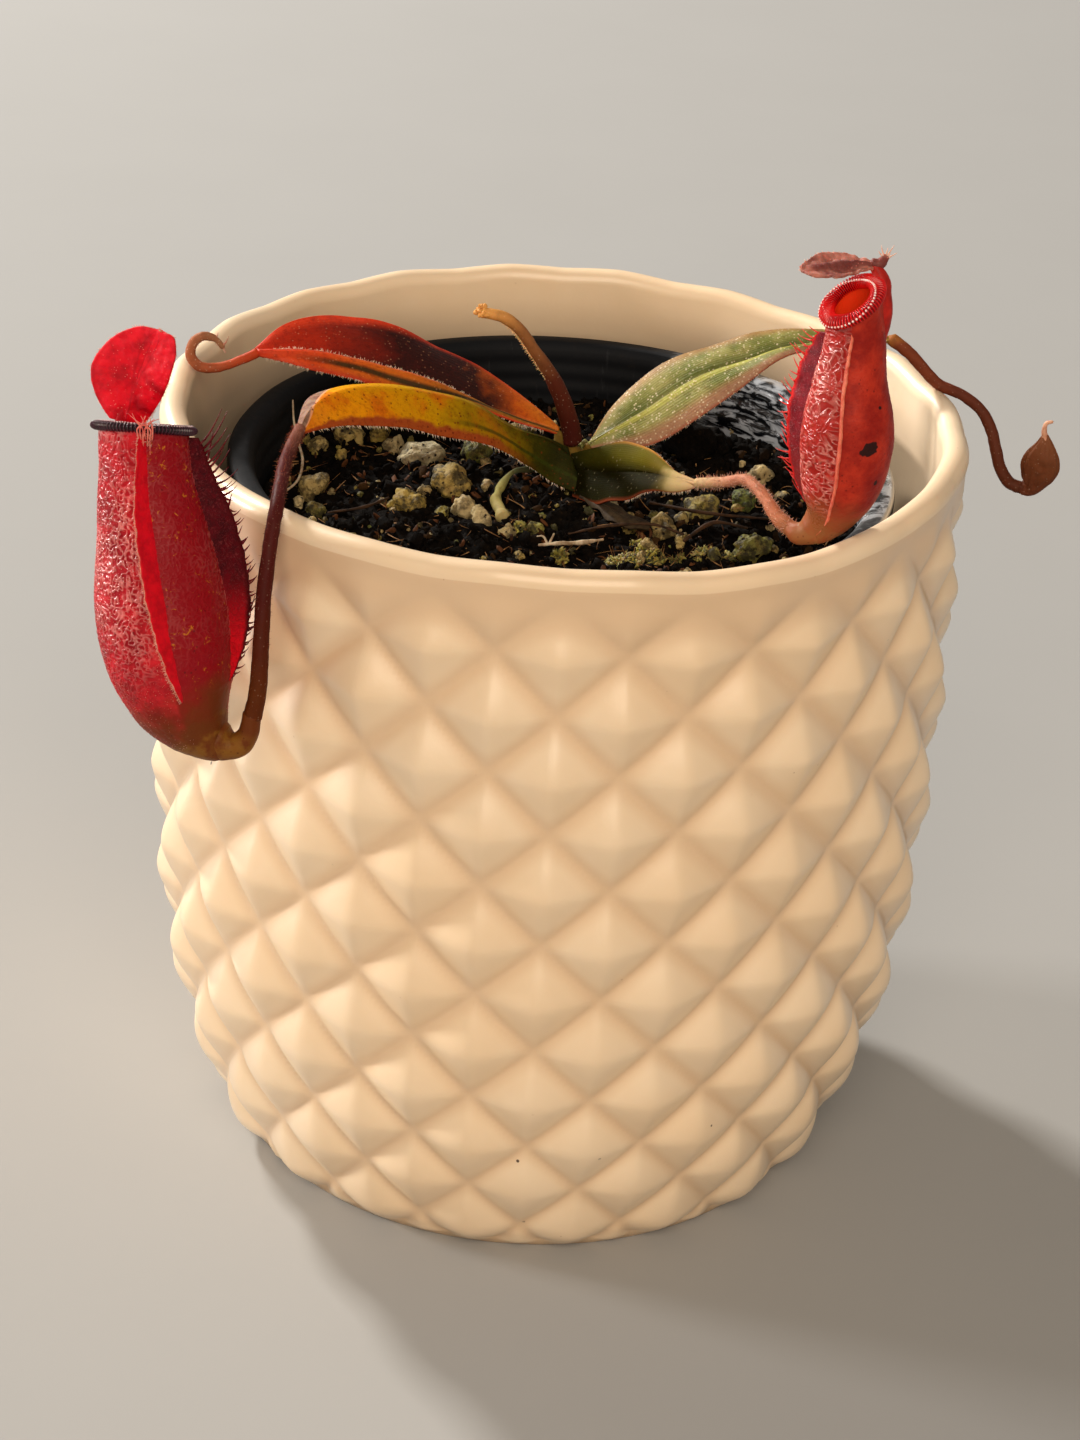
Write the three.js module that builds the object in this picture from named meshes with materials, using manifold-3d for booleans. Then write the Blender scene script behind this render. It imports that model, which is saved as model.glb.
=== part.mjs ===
// A tropical pitcher plant in a black nursery pot, standing in a cream cachepot with a diamond relief.
// Millimetres, +Z up. The origin is the middle of the cachepot's flat underside.
import * as THREE from 'three';
import { mergeVertices } from 'three/addons/utils/BufferGeometryUtils.js';
import Module from 'manifold-3d';

// ---- driving dimensions -------------------------------------------------------------------------

const GAP = 0.3;                // clearance between pieces that touch

const POT = {
  height: 140,
  lipRadius: 70,                // outside of the lip
  wall: 4.7,
  footRadius: 53.5,
  floor: 7,                     // thickness of the floor
  diamonds: 20,                 // diamonds round the pot
  turn: THREE.MathUtils.degToRad(10.66), // where the first groove crossing stands
  firstCrossing: 124.8,         // height of the top row of groove crossings
  rowStep: 10.75,               // height from one row of crossings to the next
  rows: 12,                     // rows of crossings
  relief: 3.6,                  // how far a diamond's point stands out of the grooves
  footRelief: 2.4,              // the same in the lowest row
  fullRelief: 45,               // height from which the relief is full
};

const NURSERY = {
  rim: 130,                     // height of the collar's top
  collarRadius: 58.5,
  collarDrop: 5,                // depth of the collar's skirt
  mouthRadius: 54.4,            // inside, at the rim
  footRadius: 44,
  sheet: 1.2,
  rings: 2,                     // moulded rings on the inside, below the rim
  ringStep: 3.2,
  drainRadius: 4.5,
  drainCircle: 30,
  drains: 6,
  sides: 36,
};

const SOIL = {
  level: 119,
  swell: 0.9,                   // how far the surface rises and falls
  lumps: 46,
  largest: 3.3,
  smallest: 1.1,
  // x, y and radius of the places without lumps
  bare: [[-4, 14, 2], [-8.5, 8.5, 3], [-11, 1, 3], [-9.5, -6, 2], [6, 2, 4.5], [12, -4, 5]],
};

const STEM = { x: 1.7, y: 12.5, radius: 2.3, top: 127, bottom: 98 };

const BLADE = 0.75;             // thickness of a leaf blade
const MIDRIB = 1.5;             // thickness of a blade along its midrib
const BLUNT = 0.35;             // how far a rod's end bulges, as a share of its radius
const WALL = 0.9;               // wall of a pitcher
const WING = 0.7;               // thickness of a wing and a lid

const COLOURS = {
  glaze: 0xe9dcc3, plastic: 0x15161a, peat: 0x1d1712, stem: 0x5b4a22,
  backLeft: 0x8a2c1c, frontLeft: 0xb8701a, centre: 0x6b3a22, backRight: 0x8b9152, frontRight: 0x454a1e,
  dead: 0x4a3420, stub: 0xb9a95c, tendril: 0x5a2a22, tendrilPale: 0xa8644a,
  crimson: 0xa3152a, red: 0xb32a22, brown: 0x4a261a,
};

// ---- solids from rings of points ------------------------------------------------------------------

const wasm = await Module();
wasm.setup();

const v3 = (p) => new THREE.Vector3(...p);
const curve = (points) => new THREE.CatmullRomCurve3(points.map(v3), false, 'centripetal');
const smooth = (t) => t * t * (3 - 2 * t);

function geometry(points, triangles) {
  const g = new THREE.BufferGeometry();
  g.setAttribute('position', new THREE.Float32BufferAttribute(points.flatMap((p) => [p.x, p.y, p.z]), 3));
  g.setIndex(triangles.flat());
  return facingOut(g);
}

// Turns every triangle round where the body's volume comes out negative.
function facingOut(g) {
  const index = g.index.array;
  const p = g.attributes.position;
  const a = new THREE.Vector3();
  const b = new THREE.Vector3();
  const c = new THREE.Vector3();
  let volume = 0;
  for (let i = 0; i < index.length; i += 3) {
    a.fromBufferAttribute(p, index[i]);
    b.fromBufferAttribute(p, index[i + 1]);
    c.fromBufferAttribute(p, index[i + 2]);
    volume += a.dot(b.cross(c));
  }
  if (volume < 0) {
    for (let i = 0; i < index.length; i += 3) {
      [index[i + 1], index[i + 2]] = [index[i + 2], index[i + 1]];
    }
  }
  return g;
}

// Closed rings of equally many points, joined in order and closed by a point at each end.
// split(i, j) says which way the four-sided face after point j of ring i is divided.
function loft(rings, first, last, split = () => false) {
  const n = rings[0].length;
  const points = [first, ...rings.flat(), last];
  const at = (i, j) => 1 + i * n + (j % n);
  const triangles = [];
  for (let j = 0; j < n; j += 1) {
    triangles.push([0, at(0, j + 1), at(0, j)]);
    triangles.push([points.length - 1, at(rings.length - 1, j), at(rings.length - 1, j + 1)]);
  }
  for (let i = 0; i + 1 < rings.length; i += 1) {
    for (let j = 0; j < n; j += 1) {
      const [a, b, c, d] = [at(i, j), at(i, j + 1), at(i + 1, j + 1), at(i + 1, j)];
      triangles.push(...(split(i, j) ? [[a, b, d], [b, c, d]] : [[a, b, c], [a, c, d]]));
    }
  }
  return geometry(points, triangles);
}

// A thin sheet: rows of points across it, thickened alike on both faces and closed round its edge.
function sheet(rows, edge, middle = edge) {
  const [n, m] = [rows.length, rows[0].length];
  const clampRow = (i) => rows[Math.min(Math.max(i, 0), n - 1)];
  const normal = (i, j) => {
    const along = clampRow(i + 1)[j].clone().sub(clampRow(i - 1)[j]);
    const across = rows[i][Math.min(j + 1, m - 1)].clone().sub(rows[i][Math.max(j - 1, 0)]);
    return along.cross(across).normalize();
  };
  const thickness = (j) => (2 * j === m - 1 ? middle : edge);
  const face = (side) => rows.map((row, i) => row.map((p, j) => (
    p.clone().addScaledVector(normal(i, j), side * thickness(j) / 2))));
  const points = [...face(1).flat(), ...face(-1).flat()];
  const top = (i, j) => i * m + j;
  const under = (i, j) => n * m + i * m + j;
  const triangles = [];
  const quad = (a, b, c, d) => triangles.push([a, b, c], [a, c, d]);
  for (let i = 0; i + 1 < n; i += 1) {
    for (let j = 0; j + 1 < m; j += 1) {
      quad(top(i, j), top(i, j + 1), top(i + 1, j + 1), top(i + 1, j));
      triangles.push([under(i, j), under(i + 1, j + 1), under(i, j + 1)]);
      triangles.push([under(i, j), under(i + 1, j), under(i + 1, j + 1)]);
    }
    quad(top(i, 0), top(i + 1, 0), under(i + 1, 0), under(i, 0));
    quad(top(i + 1, m - 1), top(i, m - 1), under(i, m - 1), under(i + 1, m - 1));
  }
  for (let j = 0; j + 1 < m; j += 1) {
    quad(top(0, j + 1), top(0, j), under(0, j), under(0, j + 1));
    quad(top(n - 1, j), top(n - 1, j + 1), under(n - 1, j + 1), under(n - 1, j));
  }
  return geometry(points, triangles);
}

// A round rod along a curve, whose radius follows a list of radii.
function rod(points, radii, steps, sides = 8) {
  const path = curve(points);
  const frames = path.computeFrenetFrames(steps, false);
  const radius = (t) => {
    const at = t * (radii.length - 1);
    const i = Math.min(Math.floor(at), radii.length - 2);
    return THREE.MathUtils.lerp(radii[i], radii[i + 1], smooth(at - i));
  };
  const rings = [];
  for (let i = 0; i <= steps; i += 1) {
    const centre = path.getPointAt(i / steps);
    rings.push(Array.from({ length: sides }, (_, j) => {
      const angle = j * 2 * Math.PI / sides;
      return centre.clone()
        .addScaledVector(frames.normals[i], radius(i / steps) * Math.cos(angle))
        .addScaledVector(frames.binormals[i], radius(i / steps) * Math.sin(angle));
    }));
  }
  const first = path.getPointAt(0).addScaledVector(frames.tangents[0], -BLUNT * radius(0));
  const last = path.getPointAt(1).addScaledVector(frames.tangents[steps], BLUNT * radius(1));
  return loft(rings, first, last);
}

function toSolid(g) {
  const plain = g.clone();
  plain.deleteAttribute('normal');
  plain.deleteAttribute('uv');
  const merged = mergeVertices(plain, 1e-4);
  return new wasm.Manifold(new wasm.Mesh({
    numProp: 3,
    vertProperties: new Float32Array(merged.attributes.position.array),
    triVerts: new Uint32Array(merged.index.array),
  }));
}

function fromSolid(solid) {
  const mesh = solid.getMesh();
  const g = new THREE.BufferGeometry();
  g.setAttribute('position', new THREE.Float32BufferAttribute(mesh.vertProperties, 3));
  g.setIndex([...mesh.triVerts]);
  return g;
}

const fuse = (...parts) => fromSolid(parts.map(toSolid).reduce((all, part) => all.add(part)));

// Seeded random numbers from 0 to 1.
function dice(seed) {
  let state = seed;
  return () => {
    state = (state * 1664525 + 1013904223) % 4294967296;
    return state / 4294967296;
  };
}

const plant = new THREE.Group();

function piece(name, g, colour, roughness) {
  const mesh = new THREE.Mesh(g, new THREE.MeshStandardMaterial({ color: colour, roughness, metalness: 0 }));
  mesh.name = name;
  plant.add(mesh);
}

// ---- cachepot ---------------------------------------------------------------------------------------

// Radius of the bottom of the grooves at each height, from the foot to the lip.
const potProfile = curve([
  [54.6, 0, 0], [57, 0, 7], [60.4, 0, 16], [63.3, 0, 27], [65.5, 0, 40], [67.1, 0, 57],
  [67.9, 0, 75], [68.2, 0, 95], [68.0, 0, 112], [67.7, 0, 124], [69.2, 0, 133], [70, 0, 137],
]);

function potRadius(z) {
  let [low, high] = [0, 1];
  for (let i = 0; i < 24; i += 1) {
    const middle = (low + high) / 2;
    if (potProfile.getPoint(middle).z < z) low = middle;
    else high = middle;
  }
  return potProfile.getPoint(low).x;
}

// Height of the diamond relief: four-sided points between two families of slanting grooves.
function diamond(angle, z) {
  const u = (angle - POT.turn) / (2 * Math.PI / POT.diamonds);
  const v = (POT.firstCrossing - z) / (2 * POT.rowStep);
  const toGroove = (t) => Math.abs(t - Math.floor(t) - 0.5);
  const height = 1 - 2 * Math.max(toGroove(u + v), toGroove(u - v));
  const underLip = smooth(THREE.MathUtils.clamp((POT.height - 6 - z) / 12, 0, 1));
  const overFoot = smooth(THREE.MathUtils.clamp(z / POT.fullRelief, 0, 1));
  return THREE.MathUtils.lerp(POT.footRelief, POT.relief, overFoot) * height * underLip;
}

function cachepot() {
  const columns = 2 * POT.diamonds;
  const ring = (z, radius) => Array.from({ length: columns }, (_, j) => {
    const angle = POT.turn + j * 2 * Math.PI / columns;
    const r = radius(angle);
    return new THREE.Vector3(r * Math.sin(angle), -r * Math.cos(angle), z);
  });
  const plain = (z, r) => ring(z, () => r);
  const raised = (z) => ring(z, (angle) => potRadius(z) + diamond(angle, z));
  const rings = [plain(0, POT.footRadius), raised(1.6)];
  const lowest = POT.firstCrossing - (POT.rows - 1) * POT.rowStep;
  for (let i = 0; i < POT.rows; i += 1) rings.push(raised(lowest + i * POT.rowStep));
  rings.push(plain(POT.height - 8, potRadius(POT.height - 8)));
  const lip = POT.wall / 2;
  const middle = POT.lipRadius - lip;
  for (const turn of [0, 50, 90, 130, 180]) {
    const angle = THREE.MathUtils.degToRad(turn);
    rings.push(plain(POT.height - lip + lip * Math.sin(angle), middle + lip * Math.cos(angle)));
  }
  const inside = [[115, 64], [60, 62.8], [30, 60.5], [14, 55], [POT.floor, 49]];
  for (const [z, r] of inside) rings.push(plain(z, r));
  const grooves = (i, j) => i >= 2 && i < 1 + POT.rows && (i + j + POT.rows) % 2 === 0;
  return loft(rings, new THREE.Vector3(0, 0, 0), new THREE.Vector3(0, 0, POT.floor), grooves);
}

piece('cachepot', cachepot(), COLOURS.glaze, 0.25);

// ---- nursery pot and soil ---------------------------------------------------------------------------

const nurseryFloor = POT.floor + GAP;
const nurseryInside = (z) => THREE.MathUtils.mapLinear(
  z, nurseryFloor, NURSERY.rim, NURSERY.footRadius - NURSERY.sheet, NURSERY.mouthRadius,
);

function nurseryPot() {
  const n = NURSERY;
  const outside = (z) => nurseryInside(z) + n.sheet;
  const profile = [
    [0, nurseryFloor], [n.footRadius - 1, nurseryFloor], [n.footRadius, nurseryFloor + 1],
    [outside(n.rim - n.collarDrop - 3), n.rim - n.collarDrop - 3],
    [n.collarRadius - 1.3, n.rim - n.collarDrop], [n.collarRadius, n.rim - n.collarDrop + 0.6],
    [n.collarRadius, n.rim - 0.8], [n.collarRadius - 0.8, n.rim],
    [n.mouthRadius + 0.5, n.rim], [n.mouthRadius, n.rim - 0.5],
  ];
  for (let i = 0; i < n.rings; i += 1) {
    const z = n.rim - 2.2 - i * n.ringStep;
    profile.push([nurseryInside(z), z]);
    profile.push([nurseryInside(z) - 0.4, z - 0.8]);
    profile.push([nurseryInside(z - 1.6), z - 1.6]);
  }
  profile.push([nurseryInside(nurseryFloor + n.sheet), nurseryFloor + n.sheet], [0, nurseryFloor + n.sheet]);
  let body = toSolid(new THREE.LatheGeometry(profile.map(([x, y]) => new THREE.Vector2(x, y)), n.sides)
    .rotateX(Math.PI / 2));
  for (let i = 0; i < n.drains; i += 1) {
    const angle = i * 2 * Math.PI / n.drains;
    const drain = new THREE.CylinderGeometry(n.drainRadius, n.drainRadius, 4 * n.sheet, 12)
      .rotateX(Math.PI / 2)
      .translate(n.drainCircle * Math.cos(angle), n.drainCircle * Math.sin(angle), nurseryFloor);
    body = body.subtract(toSolid(drain));
  }
  return fromSolid(body);
}

piece('nursery_pot', nurseryPot(), COLOURS.plastic, 0.35);

function soilTop(x, y) {
  const heaps = Math.sin(x * 0.19 + 1) * Math.cos(y * 0.16);
  const ridges = 0.6 * Math.sin(x * 0.07 - y * 0.23);
  return SOIL.level + SOIL.swell * (heaps + ridges);
}

function soil() {
  const sides = 36;
  const bottom = nurseryFloor + NURSERY.sheet + GAP;
  const ring = (radius, z) => Array.from({ length: sides }, (_, j) => {
    const angle = j * 2 * Math.PI / sides;
    const [x, y] = [radius * Math.cos(angle), radius * Math.sin(angle)];
    return new THREE.Vector3(x, y, z === null ? soilTop(x, y) : z);
  });
  const edge = nurseryInside(SOIL.level) - 0.4 - GAP - 0.2;
  const rings = [ring(nurseryInside(bottom) - GAP - 0.2, bottom), ring(edge, null)];
  for (const share of [0.86, 0.68, 0.5, 0.3, 0.12]) rings.push(ring(edge * share, null));
  const ground = loft(rings, new THREE.Vector3(0, 0, bottom), new THREE.Vector3(0, 0, soilTop(0, 0)));

  const random = dice(7);
  const lumps = [];
  while (lumps.length < SOIL.lumps) {
    const angle = random() * 2 * Math.PI;
    const size = SOIL.smallest + (SOIL.largest - SOIL.smallest) * random() ** 2.2;
    const away = (edge - size - 1) * Math.sqrt(random());
    const [x, y] = [away * Math.cos(angle), away * Math.sin(angle)];
    const squash = [0.8 + 0.4 * random(), 0.8 + 0.4 * random(), 0.7 + 0.3 * random()];
    const turn = random() * Math.PI;
    const clear = [[STEM.x, STEM.y, STEM.radius + 2], ...SOIL.bare]
      .every(([cx, cy, r]) => Math.hypot(x - cx, y - cy) > r + size);
    if (clear) {
      lumps.push(new THREE.IcosahedronGeometry(size, 0).rotateZ(turn).rotateX(turn)
        .scale(...squash).translate(x, y, soilTop(x, y) + 0.25 * size));
    }
  }
  const depth = 60;
  const hole = new THREE.CylinderGeometry(STEM.radius + GAP, STEM.radius + GAP, depth, 20)
    .rotateX(Math.PI / 2).translate(STEM.x, STEM.y, STEM.bottom - BLUNT * STEM.radius - GAP + depth / 2);
  return fromSolid(toSolid(fuse(ground, ...lumps)).subtract(toSolid(hole)));
}

piece('soil', soil(), COLOURS.peat, 0.95);

piece('crown_stem', rod(
  [[STEM.x, STEM.y, STEM.bottom], [STEM.x, STEM.y, 112], [STEM.x, STEM.y, STEM.top - 0.8]],
  [STEM.radius, STEM.radius, STEM.radius, STEM.radius - 0.4], 6, 10,
), COLOURS.stem, 0.6);

// ---- leaves -----------------------------------------------------------------------------------------

// A blade between its two edges, bent along its midrib. Each line runs from the crown to the tip.
function blade(near, midrib, far, { rows = 15, half = 3, bulge = 0.5, wave = 0.35 } = {}) {
  const lines = [near, midrib, far].map(curve);
  const grid = [];
  for (let i = 0; i <= rows; i += 1) {
    const s = i / rows;
    const [a, m, b] = lines.map((line) => line.getPointAt(s));
    const lift = new THREE.Vector3().crossVectors(lines[1].getTangentAt(s), b.clone().sub(a)).normalize();
    if (lift.z < 0) lift.negate();
    const row = [];
    for (let j = -half; j <= half; j += 1) {
      const t = Math.abs(j) / half;
      const rise = bulge * Math.sin(Math.PI * t) * Math.sin(Math.PI * s)
        + wave * t * t * Math.sin(s * 21 + (j < 0 ? 0 : 2)) * Math.sin(Math.PI * s);
      row.push(m.clone().lerp(j < 0 ? a : b, t).addScaledVector(lift, rise));
    }
    grid.push(row);
  }
  return sheet(grid, BLADE, MIDRIB);
}

function leaf(name, { near, midrib, far, colour, shape }) {
  piece(name, blade(near, midrib, far, shape), colour, 0.45);
}

leaf('leaf_back_left', {
  near: [[-0.9, 12.1, 129.2], [-8.5, 11.3, 131.3], [-15, 9.3, 134.2], [-25.5, 6, 136.5], [-37, 3.5, 140.5],
    [-45.5, 3, 142.5], [-54.5, 5.5, 143]],
  midrib: [[-0.9, 12.5, 129.6], [-11.5, 12.5, 132.5], [-21, 11.5, 136], [-36.5, 9, 140.5], [-48.5, 7, 143],
    [-54.5, 6, 143.5]],
  far: [[-0.9, 13, 130.3], [-9, 18, 134.5], [-19.5, 21, 139], [-31.5, 20, 144.5], [-43, 17, 147],
    [-50.5, 12, 146.5], [-55, 6.5, 144]],
  colour: COLOURS.backLeft,
});

leaf('leaf_front_left', {
  near: [[-0.3, 10.3, 125], [-9, 1, 130], [-22.5, -8, 136.5], [-29, -13, 139], [-36.5, -20, 142],
    [-43.5, -27.5, 143]],
  midrib: [[-0.4, 10.7, 125.8], [-8.5, 6, 132], [-18, 0, 139], [-30, -7, 143.5], [-37.5, -14, 145.5],
    [-42.5, -21, 145], [-44, -27, 143.5]],
  far: [[-0.6, 11.2, 126.5], [-8.5, 8.6, 131], [-18.5, 4.6, 137.6], [-30, 0, 141], [-38, -7, 143.5],
    [-43.5, -16, 144.5], [-44.5, -26.5, 143.5]],
  colour: COLOURS.frontLeft,
});

leaf('leaf_back_right', {
  near: [[4.8, 12, 127], [14.5, 9, 129.5], [25, 10, 136], [33, 13, 142.5], [40, 16, 146], [57.5, 20, 148]],
  midrib: [[4.6, 12.5, 127.5], [14, 14, 134], [23.5, 16, 140.5], [31.5, 17, 143.5], [39.5, 18, 146.5],
    [57.5, 20, 148.5]],
  far: [[4.8, 13, 128], [9, 17, 134.2], [18.5, 21, 141.5], [28, 22, 145.2], [38, 22, 148.4], [48, 21, 149],
    [57.5, 20, 149]],
  colour: COLOURS.backRight,
});

leaf('leaf_front_right', {
  near: [[3.7, 9.9, 122.2], [7, -3, 124], [11.5, -9, 127], [16.5, -14, 131], [20.5, -18, 133],
    [23.5, -20, 135]],
  midrib: [[3.5, 10.3, 124], [8.5, 2, 127], [15.5, -8, 131.5], [19.5, -15, 134], [23.5, -20, 135.5]],
  far: [[3.3, 10.5, 125.5], [6, 8, 129], [11.5, 3, 132.5], [16, -5, 134.5], [19.5, -13, 134.5],
    [23.5, -20, 136]],
  colour: COLOURS.frontRight,
});

piece('leaf_centre', rod(
  [[1.6, 12.5, 127.9], [1, 12.5, 131], [-0.5, 12, 135.5], [-3, 11, 141], [-6.5, 10, 146.5], [-9.5, 9, 151],
    [-12.5, 8, 152.5], [-15.5, 8, 153]],
  [1.7, 1.6, 1.5, 1.2, 1, 1.2, 0.8], 24, 8,
), COLOURS.centre, 0.5);

leaf('leaf_old', {
  near: [[3.5, 3.5, 121.1], [7, -2.5, 121.4], [10.5, -7, 121], [16, -6.5, 120.3]],
  midrib: [[4, 4.5, 121.2], [7.5, -1, 121.9], [11, -4.5, 121.4], [16, -5.5, 120.5]],
  far: [[4.5, 6, 120.8], [8.5, 3, 120.9], [12, -1.5, 120.8], [16.5, -4, 120.3]],
  colour: COLOURS.dead,
  shape: { rows: 8, half: 2 },
});

piece('leaf_stub', rod(
  [[-3.5, 14, 121.5], [-8.5, 8.5, 123], [-10.5, 4, 122], [-11, -0.5, 121], [-9.5, -6, 120.3]],
  [0.5, 0.7, 0.8, 0.9, 0.6], 12, 6,
), COLOURS.stub, 0.7);

// ---- tendrils ---------------------------------------------------------------------------------------

piece('tendril_back_left', rod(
  [[-55.9, 6, 143.2], [-58, 5.5, 141.7], [-61.5, 5, 140.5], [-64.5, 4.5, 140.8], [-66, 4.5, 142.6],
    [-65.5, 5, 145], [-64, 5.5, 146], [-62, 6, 145.5], [-60.5, 6, 144]],
  [0.7, 0.7, 0.75, 0.6, 0.35], 24, 6,
), COLOURS.tendril, 0.5);

piece('tendril_front_left', rod(
  [[-44.3, -27.9, 143.3], [-45, -39, 143.4], [-45, -49, 142.9], [-45, -55, 141.7], [-45.5, -59.5, 136.5],
    [-46, -62.5, 129], [-46, -65, 121.5], [-46.2, -66.2, 114.5], [-46.65, -66.55, 111]],
  [1.1, 1.3, 1.35, 1.4, 1.5], 30, 6,
), COLOURS.tendril, 0.5);

piece('tendril_back_right', rod(
  [[58.6, 20, 148.1], [60, 19.5, 146.7], [62.5, 19, 144.5], [66, 18.5, 141.3], [70.5, 17, 140],
    [74, 15, 138], [75.8, 13.5, 135.3], [77, 12, 132], [78, 11, 129], [80, 10.5, 126.5], [81.2, 10.1, 126]],
  [0.8, 0.85, 0.9, 0.95, 1], 30, 6,
), COLOURS.brown, 0.5);

piece('tendril_front_right', rod(
  [[24.1, -21, 135.9], [27.5, -25, 138.5], [30.5, -28, 140.5], [32.5, -31, 140.5], [34.4, -34.8, 139.6],
    [36, -38, 138.5], [37.4, -39.9, 138.05]],
  [0.9, 0.9, 1, 1.3], 18, 6,
), COLOURS.tendrilPale, 0.5);

// ---- pitchers ---------------------------------------------------------------------------------------

// A hollow pitcher. axis runs from its foot to its mouth, radii along it. front is the side that its two
// wings stand on, and mouth is the direction that its opening faces. The knee joins its foot to the tendril.
function pitcher({ axis, radii, front, mouth, wings, lid, knee, sides = 16, steps = 12 }) {
  const path = curve(axis);
  const facing = v3(front).normalize();
  const opening = v3(mouth).normalize();
  const radius = curve(radii.map((r, i) => [r, 0, i]));
  const frame = (t) => {
    const neck = smooth(THREE.MathUtils.clamp((t - 0.7) / 0.3, 0, 1));
    const n = path.getTangentAt(t).lerp(opening, neck).normalize();
    const f = facing.clone().addScaledVector(n, -facing.dot(n)).normalize();
    return { centre: path.getPointAt(t), n, f, side: new THREE.Vector3().crossVectors(n, f) };
  };
  const point = (t, angle, grow, rise = 0) => {
    const { centre, n, f, side } = frame(t);
    const r = radius.getPoint(t).x + grow;
    return centre.addScaledVector(f, r * Math.cos(angle)).addScaledVector(side, r * Math.sin(angle))
      .addScaledVector(n, rise);
  };
  const ring = (t, grow, rise) => Array.from({ length: sides }, (_, j) => (
    point(t, j * 2 * Math.PI / sides, grow, rise)));

  const rings = [];
  for (let i = 0; i <= steps; i += 1) rings.push(ring(i / steps, 0, 0));
  rings.push(ring(1, 1.3, 0.7), ring(1, 0.5, 1.5), ring(1, -0.6, 1), ring(1, -1.1, -0.2));
  const deepest = 0.24;
  for (let i = steps - 1; i / steps > deepest; i -= 2) rings.push(ring(i / steps, -WALL, 0));
  const foot = path.getPointAt(0).addScaledVector(path.getTangentAt(0), -0.3);
  const cup = loft(rings, foot, path.getPointAt(deepest));
  const bend = rod(knee.line, knee.radii, 8, 8);
  return fuse(cup, bend, ...wings.map((w) => wing(point, w)), lidBody(lid));
}

// A wing along the pitcher's front, with a fringe of teeth on its outer edge.
function wing(point, { angle, from, to, width, lean = 0, teeth, tooth }) {
  const rows = 2 * teeth;
  const grid = [];
  for (let i = 0; i <= rows; i += 1) {
    const s = i / rows;
    const t = THREE.MathUtils.lerp(from, to, s);
    const out = width * Math.sin(Math.PI * (0.05 + 0.85 * s)) ** 0.7 + (i % 2 ? tooth : 0);
    const root = point(t, angle, -0.5);
    const away = point(t, angle + lean, 8).sub(point(t, angle, 0)).normalize();
    grid.push([root, root.clone().addScaledVector(away, 0.5 + 0.7 * out),
      root.clone().addScaledVector(away, 0.5 + out)]);
  }
  return sheet(grid, WING);
}

function lidBody({ left, middle, right, spur }) {
  const rows = 8;
  const half = 2;
  const lines = [left, middle, right].map(curve);
  const grid = [];
  for (let i = 0; i <= rows; i += 1) {
    const [a, m, b] = lines.map((line) => line.getPointAt(i / rows));
    const across = [...Array(2 * half + 1).keys()].map((k) => k / half - 1);
    grid.push(across.map((t) => m.clone().lerp(t < 0 ? a : b, Math.abs(t))));
  }
  return fuse(sheet(grid, WING, 1.1), rod(spur, [0.5, 0.8, 0.6], 4, 6));
}

piece('pitcher_left', pitcher({
  axis: [[-50.6, -66.3, 104.2], [-52.6, -65.9, 104.4], [-55.3, -64.9, 106.4], [-57.9, -63.6, 109.8],
    [-60.1, -61.7, 114.6], [-61.8, -59.6, 120.4], [-63, -57.6, 127], [-64.2, -55.7, 135],
    [-65.6, -54, 143], [-66.6, -52.6, 152.5]],
  radii: [1.8, 5.6, 8.6, 10.2, 10.8, 10.8, 10.2, 9.2, 8.3, 7.5, 7.2],
  front: [0.62, -0.79, 0],
  mouth: [0, 0.39, 0.92],
  knee: {
    line: [[-47.15, -66.6, 109.5], [-47.8, -66.6, 106.8], [-49.4, -66.4, 104.7], [-52, -65.8, 104.4],
      [-54.5, -65, 106]],
    radii: [1.55, 1.9, 2.6, 3.4, 3.6],
  },
  wings: [
    { angle: -0.54, from: 0.2, to: 0.98, width: 3.8, lean: -0.4, teeth: 12, tooth: 0.8 },
    { angle: 0.72, from: 0.2, to: 0.97, width: 5, lean: 0.35, teeth: 12, tooth: 1 },
  ],
  lid: {
    left: [[-71.3, -46, 152.4], [-75.5, -45, 155], [-76, -45, 160], [-72.5, -46, 165.5], [-68, -47, 168],
      [-65, -48, 168]],
    middle: [[-70.8, -46, 152.4], [-68.8, -46, 157.5], [-66.5, -47, 164], [-65, -48, 168]],
    right: [[-70.3, -46, 152.4], [-66, -48, 156.5], [-63, -50, 160.5], [-62, -50, 165],
      [-62.5, -49.5, 167.5], [-64.5, -48.5, 168]],
    spur: [[-71.4, -46.2, 149.6], [-71.2, -45.8, 151.5], [-70.6, -45.8, 154]],
  },
}), COLOURS.crimson, 0.35);

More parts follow.
